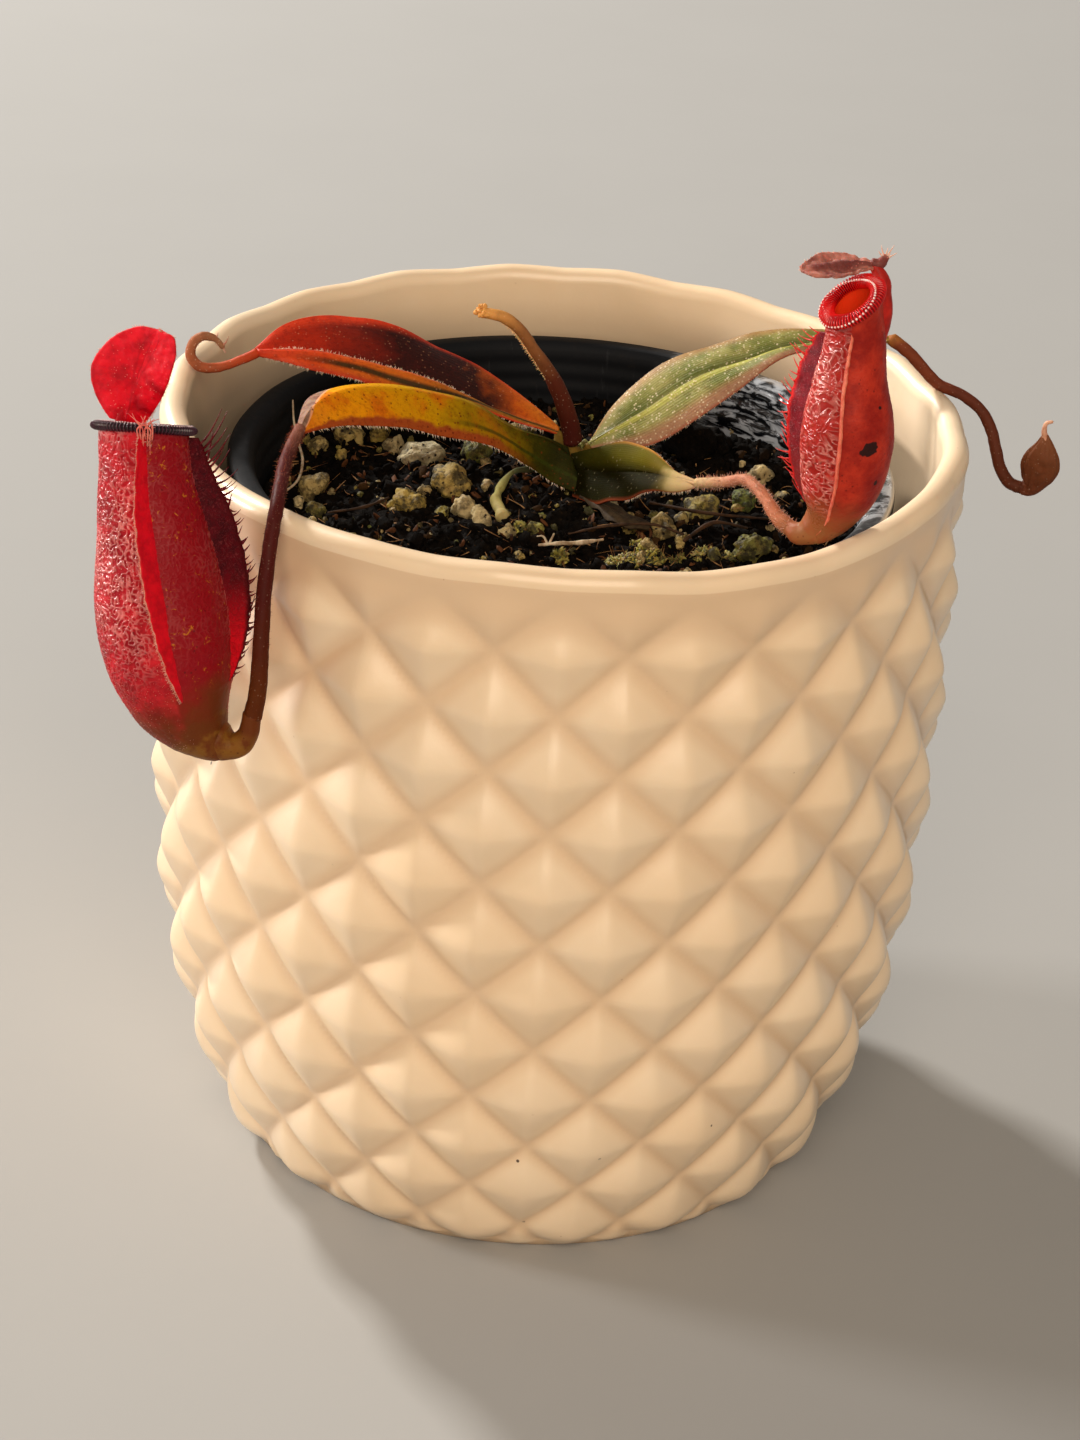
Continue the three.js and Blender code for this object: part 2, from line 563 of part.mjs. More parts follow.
piece('pitcher_right', pitcher({
  axis: [[40.9, -42.2, 137.9], [42.4, -42.5, 139], [44, -42.7, 141.8], [45, -43, 146], [45.5, -43, 151],
    [45.5, -43, 157], [45.1, -42.5, 164.5], [45, -42, 171.5], [44.4, -42, 178]],
  radii: [1.8, 3.9, 6, 7.1, 7.5, 7.2, 6.2, 5.4, 5.1, 5],
  front: [-0.74, -0.67, 0],
  mouth: [-0.55, -0.22, 0.8],
  knee: {
    line: [[38.4, -40.9, 137.8], [39.6, -41.9, 137.7], [41.5, -42.4, 138.7], [43.3, -42.6, 141]],
    radii: [1.35, 1.9, 2.6, 3.2],
  },
  wings: [
    { angle: -0.8, from: 0.12, to: 0.93, width: 4.3, lean: -0.5, teeth: 11, tooth: 1.2 },
    { angle: 0.58, from: 0.12, to: 0.95, width: 1.3, lean: 0.3, teeth: 8, tooth: 0.4 },
  ],
  lid: {
    left: [[47.6, -38.4, 183.9], [44.5, -37.6, 184.2], [40.5, -38.4, 185], [37, -42, 185.3],
      [35, -45.6, 184.9]],
    middle: [[47.6, -39, 183.7], [43, -41.2, 184], [38.5, -44, 184.3], [35.2, -46, 184.6]],
    right: [[47.4, -39.6, 183.6], [44.6, -43, 183.7], [41.2, -46.6, 184], [37, -47.8, 184.4],
      [35.3, -46.5, 184.5]],
    spur: [[48.9, -40.2, 181.2], [48, -39.3, 183.2], [49, -38.2, 184.9]],
  },
}), COLOURS.red, 0.4);

// The young pitcher is still shut: a flat pod with a hooked point.
function bud() {
  const path = curve([[82.6, 10, 125.8], [83.6, 10, 127], [84.5, 9.5, 130], [85, 9, 134], [85, 9, 136.6]]);
  const widths = [1, 2.3, 3.2, 3.3, 2.4, 0.7];
  const width = curve(widths.map((w, i) => [w, 0, i]));
  const steps = 10;
  const rings = [];
  for (let i = 0; i <= steps; i += 1) {
    const t = i / steps;
    const n = path.getTangentAt(t);
    const side = new THREE.Vector3(0.96, -0.28, 0).addScaledVector(n, -n.x * 0.96 + n.y * 0.28).normalize();
    const thick = new THREE.Vector3().crossVectors(n, side);
    const w = width.getPoint(t).x;
    rings.push(Array.from({ length: 12 }, (_, j) => {
      const angle = j * Math.PI / 6;
      return path.getPointAt(t).addScaledVector(side, w * Math.cos(angle))
        .addScaledVector(thick, (0.4 + 0.45 * w) * Math.sin(angle));
    }));
  }
  const pod = loft(rings, path.getPointAt(0).add(new THREE.Vector3(-0.3, 0, -0.2)), path.getPointAt(1));
  const point = [[85, 9, 136], [84.6, 9, 137.6], [84.8, 9, 139], [85.8, 9, 139.4]];
  return fuse(pod, rod(point, [0.7, 0.5, 0.4, 0.3], 6, 6));
}

piece('pitcher_bud', bud(), COLOURS.brown, 0.6);

export default plant;
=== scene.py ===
"""Looks of a tropical pitcher plant in a black growing pot, inside a cream cachepot with a diamond relief.

Shapes are worked out in millimetres and made in metres. +Z is up, the origin is the middle of the
cachepot's underside, and angles round the pot run from -Y, the side nearest the camera, towards +X.
"""
import itertools
import math

import bpy
import numpy as np
from mathutils import Matrix, Vector


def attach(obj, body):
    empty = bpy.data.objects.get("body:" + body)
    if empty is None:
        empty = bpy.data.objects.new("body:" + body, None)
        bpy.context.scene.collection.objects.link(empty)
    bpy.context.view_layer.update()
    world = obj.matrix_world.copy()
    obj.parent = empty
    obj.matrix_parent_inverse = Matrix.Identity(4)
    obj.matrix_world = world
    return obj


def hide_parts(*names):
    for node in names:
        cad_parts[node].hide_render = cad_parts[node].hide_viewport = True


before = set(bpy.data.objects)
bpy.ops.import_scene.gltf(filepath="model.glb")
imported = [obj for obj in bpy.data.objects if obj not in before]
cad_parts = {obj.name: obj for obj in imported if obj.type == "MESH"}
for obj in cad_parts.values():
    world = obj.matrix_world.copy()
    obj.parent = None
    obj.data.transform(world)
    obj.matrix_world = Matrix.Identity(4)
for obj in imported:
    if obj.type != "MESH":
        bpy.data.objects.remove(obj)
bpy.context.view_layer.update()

MM = 0.001
TAU = 2 * math.pi

# ---- driving dimensions, in millimetres ----

POT = {
    "height": 140, "lip_radius": 70, "wall": 4.7, "foot_radius": 53.5, "floor": 7, "diamonds": 20,
    "turn": math.radians(10.66), "first_crossing": 124.8, "row_step": 10.75,
    "relief": 3.6, "foot_relief": 2.4, "full_relief": 45,
}
POT_PROFILE = [[54.6, 0, 0], [57, 0, 7], [60.4, 0, 16], [63.3, 0, 27], [65.5, 0, 40], [67.1, 0, 57],
               [67.9, 0, 75], [68.2, 0, 95], [68.0, 0, 112], [67.7, 0, 124], [69.2, 0, 133], [70, 0, 137]]
POT_INSIDE = [[49, 0, 7], [55, 0, 14], [60.5, 0, 30], [62.8, 0, 60], [64, 0, 115], [64.6, 0, 128],
              [65.3, 0, 137]]
NURSERY = {"rim": 130, "collar": 58.5, "drop": 5, "mouth": 54.4, "foot": 44, "sheet": 1.2, "floor": 7.3}
SOIL_LEVEL = 119
STEM = {"x": 1.7, "y": 12.5, "radius": 2.3}
FLOOR = 6  # half the width of the ground, in metres


# ---- small mathematics ----

def unit(v):
    """Vectors brought to length 1."""
    return v / np.maximum(np.linalg.norm(v, axis=-1, keepdims=True), 1e-12)


def smooth(t):
    """A soft step from 0 to 1."""
    t = np.clip(t, 0, 1)
    return t * t * (3 - 2 * t)


def between(x, low, high):
    """A soft step from 0 at low to 1 at high."""
    return smooth((x - low) / (high - low))


def turns(count):
    """Angles evenly round a circle."""
    return np.arange(count) * TAU / count


def band(angle, rise, fall):
    """1 between two angles round a circle, each with its soft step."""
    angle = (angle + np.pi) % TAU - np.pi
    return between(angle, *rise) * (1 - between(angle, *fall))


def noise(points, size, seed=0):
    """Smooth random values from -1 to 1, with lumps of that size, at points in space."""
    q = np.asarray(points, float) / size
    cell = np.floor(q).astype(np.int64)
    part = smooth(q - cell)
    total = 0
    for corner in itertools.product((0, 1), repeat=3):
        c = cell + np.array(corner)
        mixed = (c[..., 0] * 73856093) ^ (c[..., 1] * 19349663) ^ (c[..., 2] * 83492791) ^ (seed * 40503)
        mixed = (mixed ^ (mixed >> 13)) * 1274126177
        value = ((mixed ^ (mixed >> 16)) & 0xFFFF) / 32767.5 - 1
        total = total + value * np.prod(np.where(corner, part, 1 - part), axis=-1)
    return total


def bent(points, reach, size, seeds):
    """Points moved about by noise, a seed for each direction."""
    return points + reach * np.stack([noise(points, size, seed) for seed in seeds], -1)


def folds(points, size, seed=0):
    """Narrow crooked ridges, 0 to 1, about a size apart."""
    return 1 - np.clip(np.abs(noise(points, size, seed)) * 2.6, 0, 1)


class Line:
    """A centripetal Catmull-Rom line, read by the share of its length (at) or of its points (point)."""

    STEPS = 40  # spots between two control points

    def __init__(self, points):
        p = np.array(points, float)
        p = np.vstack([2 * p[0] - p[1], p, 2 * p[-1] - p[-2]])
        t = np.linspace(0, 1, self.STEPS, endpoint=False)[:, None]
        spots = []
        for a, b, c, d in zip(p, p[1:], p[2:], p[3:]):
            k = [math.sqrt(max(np.linalg.norm(e), 1e-9)) for e in (b - a, c - b, d - c)]
            start = ((b - a) / k[0] - (c - a) / (k[0] + k[1]) + (c - b) / k[1]) * k[1]
            end = ((c - b) / k[1] - (d - b) / (k[1] + k[2]) + (d - c) / k[2]) * k[1]
            spots.append((2 * t**3 - 3 * t**2 + 1) * b + (t**3 - 2 * t**2 + t) * start
                         + (3 * t**2 - 2 * t**3) * c + (t**3 - t**2) * end)
        self.spots = np.vstack([*spots, p[-2][None]])
        walked = np.concatenate([[0], np.cumsum(np.linalg.norm(np.diff(self.spots, axis=0), axis=1))])
        self.shares = walked / walked[-1]
        self.steps = np.linspace(0, 1, len(self.spots))

    def _read(self, t, scale):
        return np.stack([np.interp(t, scale, self.spots[:, k]) for k in range(3)], -1)

    def at(self, share):
        return self._read(share, self.shares)

    def point(self, share):
        return self._read(share, self.steps)

    def tangent(self, share):
        step = 0.004
        share = np.asarray(share, float)
        return unit(self.at(np.minimum(share + step, 1)) - self.at(np.maximum(share - step, 0)))


def width_along(values):
    """A line that holds one number, read by the share of its points."""
    return Line([[value, 0, i] for i, value in enumerate(values)])


def carried_frames(line, shares):
    """Two directions across a line at each share, carried along it without twisting."""
    tangents = line.tangent(shares)
    start = np.cross(tangents[0], (0, 0, 1) if abs(tangents[0][2]) < 0.9 else (1, 0, 0))
    sides = [unit(start)]
    for t in tangents[1:]:
        sides.append(unit(sides[-1] - t * (sides[-1] @ t)))
    sides = np.array(sides)
    return sides, np.cross(tangents, sides)


# ---- meshes ----

class Shape:
    """Points, four- and three-sided faces, and named numbers at each point."""

    def __init__(self, points, quads=(), tris=(), **marks):
        self.points = np.asarray(points, float).reshape(-1, 3)
        self.quads = np.asarray(quads, int).reshape(-1, 4)
        self.tris = np.asarray(tris, int).reshape(-1, 3)
        self.marks = {k: np.broadcast_to(np.asarray(v, float), len(self.points)) for k, v in marks.items()}

    def facing_out(self):
        """Turns the faces round where the closed shape's volume comes out negative."""
        tri = np.vstack([self.tris, self.quads[:, :3], self.quads[:, [0, 2, 3]]])
        a, b, c = (self.points[tri[:, k]] for k in range(3))
        if np.einsum("ij,ij->i", a, np.cross(b, c)).sum() < 0:
            self.quads = self.quads[:, ::-1]
            self.tris = self.tris[:, ::-1]
        return self


def joined(shapes):
    """Several shapes as one."""
    starts = np.cumsum([0] + [len(s.points) for s in shapes])
    names = set().union(*(s.marks for s in shapes))
    return Shape(
        np.vstack([s.points for s in shapes]),
        np.vstack([s.quads + n for s, n in zip(shapes, starts)]),
        np.vstack([s.tris + n for s, n in zip(shapes, starts)]),
        **{k: np.concatenate([s.marks.get(k, np.zeros(len(s.points))) for s in shapes]) for k in names})


def grid_faces(rows, columns, round_=False, first=0):
    """Faces of a grid of points, joined to itself across if it is round."""
    i, j = np.meshgrid(np.arange(rows - 1), np.arange(columns if round_ else columns - 1), indexing="ij")
    k = (j + 1) % columns
    corners = np.stack([i * columns + j, i * columns + k, (i + 1) * columns + k, (i + 1) * columns + j], -1)
    return (first + corners).reshape(-1, 4)


def loft(rings, first, last, **marks):
    """Rings of points closed at both ends by a point. A mark is given for each ring or each point."""
    rings = np.asarray(rings, float)
    n, m = rings.shape[:2]
    points = np.vstack([rings.reshape(-1, 3), first, last])
    j = np.arange(m)
    k = (j + 1) % m
    low = np.stack([np.full(m, n * m), k, j], -1)
    high = np.stack([np.full(m, n * m + 1), (n - 1) * m + j, (n - 1) * m + k], -1)
    spread = {}
    for name, value in marks.items():
        value = np.asarray(value, float)
        value = np.broadcast_to(value[:, None] if value.ndim == 1 else value, (n, m)).ravel()
        spread[name] = np.concatenate([value, [value[0], value[-1]]])
    return Shape(points, grid_faces(n, m, True), np.vstack([low, high]), **spread).facing_out()


def round_rings(profile, angle):
    """Rings round the upright axis, from pairs of radius and height."""
    level = np.ones(len(angle))
    return np.array([np.stack([r * np.sin(angle), -r * np.cos(angle), z * level], -1) for r, z in profile])


def tube(points, radii, steps, sides=20, bumps=0.0, bump_size=1.5, seed=0):
    """A round rod with blunt ends along a line, whose radius follows a list of radii."""
    line = Line(points)
    shares = np.linspace(0, 1, steps + 1)
    side, up = carried_frames(line, shares)
    place = shares * (len(radii) - 1)
    i = np.minimum(place.astype(int), len(radii) - 2)
    radii = np.asarray(radii, float)
    radius = radii[i] + (radii[i + 1] - radii[i]) * smooth(place - i)
    angle = turns(sides)
    out = side[:, None] * np.cos(angle)[:, None] + up[:, None] * np.sin(angle)[:, None]
    rings = line.at(shares)[:, None] + out * radius[:, None, None]
    if bumps:
        rings = rings + out * (bumps * noise(rings, bump_size, seed))[..., None]
    ends = line.at(np.array([0.0, 1.0]))
    tips = line.tangent(np.array([0.0, 1.0]))
    first = ends[0] - tips[0] * 0.8 * radius[0]
    last = ends[1] + tips[1] * 0.8 * radius[-1]
    return loft(rings, first, last, along=shares)


def thick_sheet(grid, thickness, **marks):
    """A sheet from a grid of points, given a thickness at each point and closed round its edge."""
    n, m = grid.shape[:2]
    normal = unit(np.cross(np.gradient(grid, axis=0), np.gradient(grid, axis=1)))
    half = normal * (np.broadcast_to(thickness, (n, m)) / 2)[..., None]
    points = np.vstack([(grid + half).reshape(-1, 3), (grid - half).reshape(-1, 3)])
    top = grid_faces(n, m)
    under = grid_faces(n, m, first=n * m)[:, ::-1]
    edge = np.concatenate([np.arange(m), np.arange(1, n) * m + m - 1,
                           (n - 1) * m + np.arange(m - 2, -1, -1), np.arange(n - 2, 0, -1) * m])
    after = np.roll(edge, -1)
    rim = np.stack([after, edge, edge + n * m, after + n * m], -1)
    both = {k: np.tile(np.broadcast_to(v, (n, m)).ravel(), 2) for k, v in marks.items()}
    return Shape(points, np.vstack([top, under, rim]), (), **both).facing_out()


def hairs(roots, directions, lengths, radius, curl=(0, 0, 0), sides=4, steps=4):
    """Tapered hairs, each bent by curl towards its tip."""
    roots = np.asarray(roots, float)
    n = len(roots)
    d = unit(np.asarray(directions, float))
    lengths = np.broadcast_to(np.asarray(lengths, float), n)
    radius = np.broadcast_to(np.asarray(radius, float), n)
    curl = np.broadcast_to(np.asarray(curl, float), (n, 3))
    side = unit(np.cross(d, np.where(np.abs(d[:, 2:]) < 0.9, (0.0, 0.0, 1.0), (1.0, 0.0, 0.0))))
    up = np.cross(d, side)
    t = np.linspace(0, 1, steps + 1)
    centre = roots[:, None] + d[:, None] * (lengths[:, None] * t)[..., None] \
        + curl[:, None] * (lengths[:, None] * t**2)[..., None]
    angle = turns(sides)
    ring = side[:, None] * np.cos(angle)[:, None] + up[:, None] * np.sin(angle)[:, None]
    width = radius[:, None] * (1 - 0.85 * t) ** 0.8
    points = (centre[:, :, None] + ring[:, None] * width[..., None, None]).reshape(-1, 3)
    foot = np.arange(n) * (steps + 1) * sides
    quads = (foot[:, None, None] + grid_faces(steps + 1, sides, True)[None]).reshape(-1, 4)
    top = foot + steps * sides
    caps = []
    for j in range(1, sides - 1):
        caps.append(np.stack([foot, foot + j + 1, foot + j], -1))
        caps.append(np.stack([top, top + j, top + j + 1], -1))
    return Shape(points, quads, np.vstack(caps))


def lumps(centres, sizes, seed, rough, detail, **marks):
    """Irregular stones: a ball of faces bent by noise at each centre. Sizes are (n, 3) radii."""
    ball_points, ball_faces = BALLS[detail]
    rng = np.random.default_rng(seed)
    centres = np.asarray(centres, float)
    n = len(centres)
    sizes = np.broadcast_to(np.asarray(sizes, float), (n, 3))
    rotations = random_rotations(rng, n)
    spots = ball_points[None] * 1.3 + rng.uniform(0, 99, (n, 1, 3))
    local = ball_points[None] * (1 + rough * (noise(spots, 1.0) + 0.4 * noise(spots, 0.35)))[..., None]
    points = np.einsum("nij,nkj->nki", rotations, local * sizes[:, None]) + centres[:, None]
    tris = (np.arange(n)[:, None, None] * len(ball_points) + ball_faces[None]).reshape(-1, 3)
    spread = {name: np.repeat(np.broadcast_to(v, n), len(ball_points)) for name, v in marks.items()}
    return Shape(points.reshape(-1, 3), (), tris, **spread)


def random_rotations(rng, n):
    """Random rotation matrices."""
    w, x, y, z = unit(rng.normal(size=(n, 4))).T
    return np.stack([
        np.stack([1 - 2 * (y * y + z * z), 2 * (x * y - z * w), 2 * (x * z + y * w)], -1),
        np.stack([2 * (x * y + z * w), 1 - 2 * (x * x + z * z), 2 * (y * z - x * w)], -1),
        np.stack([2 * (x * z - y * w), 2 * (y * z + x * w), 1 - 2 * (x * x + y * y)], -1)], 1)


def ball(level):
    """Points and faces of a ball of triangles, an icosahedron split level times."""
    g = (1 + 5**0.5) / 2
    points = [(-1, g, 0), (1, g, 0), (-1, -g, 0), (1, -g, 0), (0, -1, g), (0, 1, g),
              (0, -1, -g), (0, 1, -g), (g, 0, -1), (g, 0, 1), (-g, 0, -1), (-g, 0, 1)]
    faces = [(0, 11, 5), (0, 5, 1), (0, 1, 7), (0, 7, 10), (0, 10, 11), (1, 5, 9), (5, 11, 4), (11, 10, 2),
             (10, 7, 6), (7, 1, 8), (3, 9, 4), (3, 4, 2), (3, 2, 6), (3, 6, 8), (3, 8, 9), (4, 9, 5),
             (2, 4, 11), (6, 2, 10), (8, 6, 7), (9, 8, 1)]
    for _ in range(level):
        made, finer = {}, []
        for face in faces:
            middles = []
            for a, b in zip(face, face[1:] + face[:1]):
                key = (min(a, b), max(a, b))
                if key not in made:
                    made[key] = len(points)
                    points.append(tuple((np.array(points[a]) + points[b]) / 2))
                middles.append(made[key])
            (a, b, c), (ab, bc, ca) = face, middles
            finer += [(a, ab, ca), (b, bc, ab), (c, ca, bc), (ab, bc, ca)]
        faces = finer
    return unit(np.array(points, float)), np.array(faces)


BALLS = [ball(level) for level in range(4)]


def placed(name, data):
    """An object in the scene."""
    made = bpy.data.objects.new(name, data)
    bpy.context.scene.collection.objects.link(made)
    return made


def piece(name, shape, material, replaces=()):
    """Makes the shape an object of the model, riding on the one body."""
    mesh = bpy.data.meshes.new(name)
    mesh.from_pydata((shape.points * MM).tolist(), [], shape.quads.tolist() + shape.tris.tolist())
    for mark, values in shape.marks.items():
        mesh.attributes.new(mark, "FLOAT", "POINT").data.foreach_set("value", values.astype(np.float32))
    mesh.polygons.foreach_set("use_smooth", np.ones(len(mesh.polygons), bool))
    mesh.materials.append(material)
    mesh.update()
    made = placed(name, mesh)
    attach(made, "root")
    if replaces:
        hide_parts(*replaces)


# ---- materials ----

class Paint:
    """A Principled material with short calls for its nodes.

    shine is its specular level, glow how much light bleeds below the skin, and bleed how far its red, green
    and blue get, in millimetres.
    """

    def __init__(self, name, rough=0.5, shine=0.5, glow=0.0, bleed=(1.8, 0.6, 0.3), **sockets):
        self.material = bpy.data.materials.new(name)
        self.material.use_nodes = True
        self.tree = self.material.node_tree
        self.shader = self.tree.nodes["Principled BSDF"]
        self.place = self.tree.nodes.new("ShaderNodeTexCoord").outputs["Object"]
        self.finished(Roughness=rough, Specular_IOR_Level=shine, Subsurface_Weight=glow,
                      Subsurface_Radius=tuple(reach * MM for reach in bleed), **sockets)

    def finished(self, **sockets):
        """Sets or links the shader's sockets, with _ for a space, and gives the material."""
        for key, value in sockets.items():
            self._plug(self.shader.inputs[key.replace("_", " ")], value)
        return self.material

    def _plug(self, socket, value):
        if isinstance(value, bpy.types.NodeSocket):
            self.tree.links.new(value, socket)
        elif isinstance(value, tuple) and len(value) == 3 and socket.type == "RGBA":
            socket.default_value = (*value, 1)
        else:
            socket.default_value = value

    def node(self, kind, inputs, **settings):
        """A node with its settings made and its inputs set or linked."""
        made = self.tree.nodes.new(kind)
        for key, value in settings.items():
            setattr(made, key, value)
        for key, value in inputs.items():
            self._plug(made.inputs[key], value)
        return made

    def mark(self, name):
        """A number that the mesh carries at each point."""
        return self.node("ShaderNodeAttribute", {}, attribute_name=name).outputs["Fac"]

    def noise(self, size, detail=3.0, roughness=0.55, stretch=(1, 1, 1), warp=0.0):
        """Cloudy noise, 0 to 1, with lumps of that size in millimetres."""
        spot = self.node("ShaderNodeMapping", {"Vector": self.place, "Scale": stretch}).outputs[0]
        return self.node("ShaderNodeTexNoise", {
            "Vector": spot, "Scale": 1 / (size * MM), "Detail": detail, "Roughness": roughness,
            "Distortion": warp}).outputs["Fac"]

    def cloud(self, size, detail, low, high, roughness=0.55, **more):
        """Patches of noise, from 0 where it is low to 1 where it is high."""
        return self.range(self.noise(size, detail, roughness, **more), low, high)

    def spots(self, size, low, high):
        """Scattered spots about a size apart, from 0 at the low distance to 1 at the high one."""
        cells = self.node("ShaderNodeTexVoronoi", {"Vector": self.place, "Scale": 1 / (size * MM)})
        return self.range(cells.outputs["Distance"], low, high)

    def range(self, value, low, high, to_low=0.0, to_high=1.0):
        """A soft step in a value."""
        return self.node("ShaderNodeMapRange", {
            "Value": value, "From Min": low, "From Max": high, "To Min": to_low, "To Max": to_high},
            interpolation_type="SMOOTHSTEP").outputs["Result"]

    def math(self, operation, a, b=0.0):
        return self.node("ShaderNodeMath", {0: a, 1: b}, operation=operation).outputs[0]

    def times(self, product, *shares):
        for share in shares:
            product = self.math("MULTIPLY", product, share)
        return product

    def near(self, value, middle, wide, narrow):
        """1 where a value is within narrow of the middle, and 0 from wide on."""
        away = self.math("ABSOLUTE", self.math("SUBTRACT", value, middle))
        return self.range(away, wide, narrow)

    def wander(self, value, size, low, high):
        """A value moved up and down by noise."""
        return self.math("ADD", value, self.range(self.noise(size, 4), 0, 1, low, high))

    def mix(self, share, a, b, blend="MIX"):
        made = self.node("ShaderNodeMix", {0: share, 6: a, 7: b}, data_type="RGBA", blend_type=blend)
        return made.outputs[2]

    def over(self, base, *layers):
        """Lays colours over a base, each as strongly as the product of the shares that follow it."""
        for colour, *shares in layers:
            base = self.mix(self.times(*shares), base, colour)
        return base

    def ramp(self, value, *stops):
        """Colours by a value. A stop is its place and three parts of a colour."""
        made = self.node("ShaderNodeValToRGB", {"Fac": value})
        elements = made.color_ramp.elements
        while len(elements) < len(stops):
            elements.new(0.5)
        for element, (position, *colour) in zip(elements, stops):
            element.position = position
            element.color = (*colour, 1)
        return made.outputs["Color"]

    def bump(self, height, depth, **onto):
        """Bends the light by a height, 0 to 1, that stands depth millimetres tall."""
        made = self.node("ShaderNodeBump", {"Height": height, "Distance": depth * MM, **onto})
        return made.outputs["Normal"]


def glaze():
    p = Paint("glaze", 0.4, glow=0.06, bleed=(4, 2.5, 1.2), Subsurface_Scale=0.6, Coat_Weight=0.35,
              Coat_Roughness=0.2)
    base = p.mix(p.cloud(26, 4, 0.35, 0.7), (0.84, 0.63, 0.41), (0.86, 0.67, 0.46))
    # Painted shade: where the relief is low, in its grooves and in the plain band under the lip, the glaze
    # is painted darker.
    base = p.mix(p.range(p.mark("height"), 0.0, 0.45), (0.75, 0.53, 0.33), base)
    # Painted shade: the inside wall is painted darker from a little below the lip down. The two layers of
    # specks after it are the glaze's own.
    base = p.over(base, ((0.50, 0.375, 0.25), p.mark("inside"), 0.7),
                  ((0.42, 0.22, 0.10), p.spots(4.3, 0.06, 0.03), p.cloud(21, 2, 0.52, 0.64), 0.55),
                  ((0.10, 0.055, 0.03), p.spots(11.0, 0.032, 0.022), p.cloud(13, 2, 0.47, 0.53)))
    ripple = p.bump(p.noise(5.5, 3), 0.10)
    return p.finished(Base_Color=base, Normal=p.bump(p.noise(0.7, 2), 0.012, Normal=ripple),
                      Coat_Normal=p.bump(p.noise(6.5, 2), 0.06))


def black_plastic():
    p = Paint("black_plastic")
    shine = p.mark("shine")
    # Painted reflections: pale silvery streaks over the crumpled part on the right stand in for light
    # reflected by the crinkled film.
    reflection_streaks = p.cloud(1.6, 4, 0.45, 0.61, 0.6, stretch=(0.35, 0.35, 1.3), warp=0.8)
    # The last layer, by the edge mark, is a painted highlight: a pale line along the top of the collar on
    # the right.
    base = p.over((0.0025, 0.003, 0.0045), ((0.03, 0.02, 0.012), p.cloud(3.2, 5, 0.55, 0.8, 0.7), 0.2),
                  ((0.16, 0.16, 0.17), p.cloud(1.6, 4, 0.62, 0.72, 0.6, stretch=(1, 1, 0.15)), 0.06),
                  ((0.46, 0.48, 0.51), reflection_streaks, shine, 0.9), ((0.55, 0.50, 0.42), p.mark("edge")))
    return p.finished(Base_Color=base, Roughness=p.range(shine, 0, 1, 0.7, 0.2),
                      Specular_IOR_Level=p.range(shine, 0, 1, 0.2, 1.0),
                      Normal=p.bump(p.noise(2.4, 3), 0.08))


def peat():
    p = Paint("peat", shine=0.06)
    base = p.ramp(p.noise(1.1, 6, 0.7), (0.35, 0.0016, 0.0012, 0.001), (0.6, 0.007, 0.0045, 0.0028),
                  (0.8, 0.035, 0.02, 0.009))
    base = p.over(base, ((0.09, 0.042, 0.014), p.range(p.mark("tone"), 0.86, 1.1)))
    wet = p.range(p.noise(2.5, 3), 0.55, 0.7, 0.85, 0.5)
    return p.finished(Base_Color=base, Roughness=wet, Normal=p.bump(p.noise(0.6, 6, 0.75), 0.4))


def perlite():
    p = Paint("perlite", 0.62, 0.25, 0.2, (1, 0.8, 0.5))
    tone = p.mark("tone")
    grime = p.times(p.cloud(2.6, 6, 0.42, 0.58, 0.75), p.range(tone, -0.1, 0.6, 0.45, 1.0))
    pits = p.math("MINIMUM", p.spots(1.5, 0.12, 0.24), p.cloud(0.9, 3, 0.27, 0.36, 0.6, warp=1))
    base = p.ramp(tone, (0.0, 0.74, 0.62, 0.36), (0.35, 0.54, 0.40, 0.17), (0.6, 0.40, 0.28, 0.06),
                  (0.8, 0.25, 0.22, 0.045), (1.0, 0.15, 0.18, 0.03))
    base = p.over(base, ((0.16, 0.09, 0.03), p.cloud(2.1, 4, 0.42, 0.68), 0.6),
                  ((0.02, 0.016, 0.007), grime, 0.88))
    return p.finished(Base_Color=p.mix(pits, (0.02, 0.012, 0.006), base),
                      Normal=p.bump(p.math("ADD", pits, p.noise(0.5, 4)), 0.3))


def skin(name, rough, downy, *colours):
    """A stem or tendril: colours from base to tip, a darker mottle and pale dots."""
    p = Paint(name, rough, 0.06, 0.2, (1.2, 0.4, 0.2))
    base = p.ramp(p.wander(p.mark("along"), 9, -0.12, 0.12), *colours)
    base = p.over(base, ((0.06, 0.02, 0.01), p.cloud(1.5, 5, 0.42, 0.75, 0.65), 0.3),
                  ((0.85, 0.62, 0.45), p.spots(0.8, 0.2, 0.12), downy))
    return p.finished(Base_Color=base, Normal=p.bump(p.noise(0.45, 4), 0.05))


def leaf_paint(name, rough, shine, glow):
    """A leaf's paint to build on, with the places along and across the blade."""
    p = Paint(name, rough, shine, glow, (2, 0.8, 0.2))
    return p, p.mark("along"), p.mark("across")


def leaf_bump(p, veins=0.006):
    """Fine lengthwise veins and pores."""
    place = p.math("ADD", p.times(p.mark("across"), 90.0), p.times(p.noise(4, 2), 3.0))
    return p.bump(p.noise(0.5, 4, 0.7), 0.06, Normal=p.bump(p.math("SINE", place), veins))


def mottled(p, base, amount):
    """Darker cloudy grain over a colour."""
    return p.mix(p.times(p.cloud(0.9, 6, 0.46, 0.68, 0.75), amount), base, (0.50, 0.30, 0.25), "MULTIPLY")


def dots_on(p, base, size, colour, amount, low=0.24, high=0.14):
    """Small dots in patches over a colour."""
    return p.over(base, (colour, p.spots(size, low, high), p.cloud(3.1, 3, 0.4, 0.62), amount))


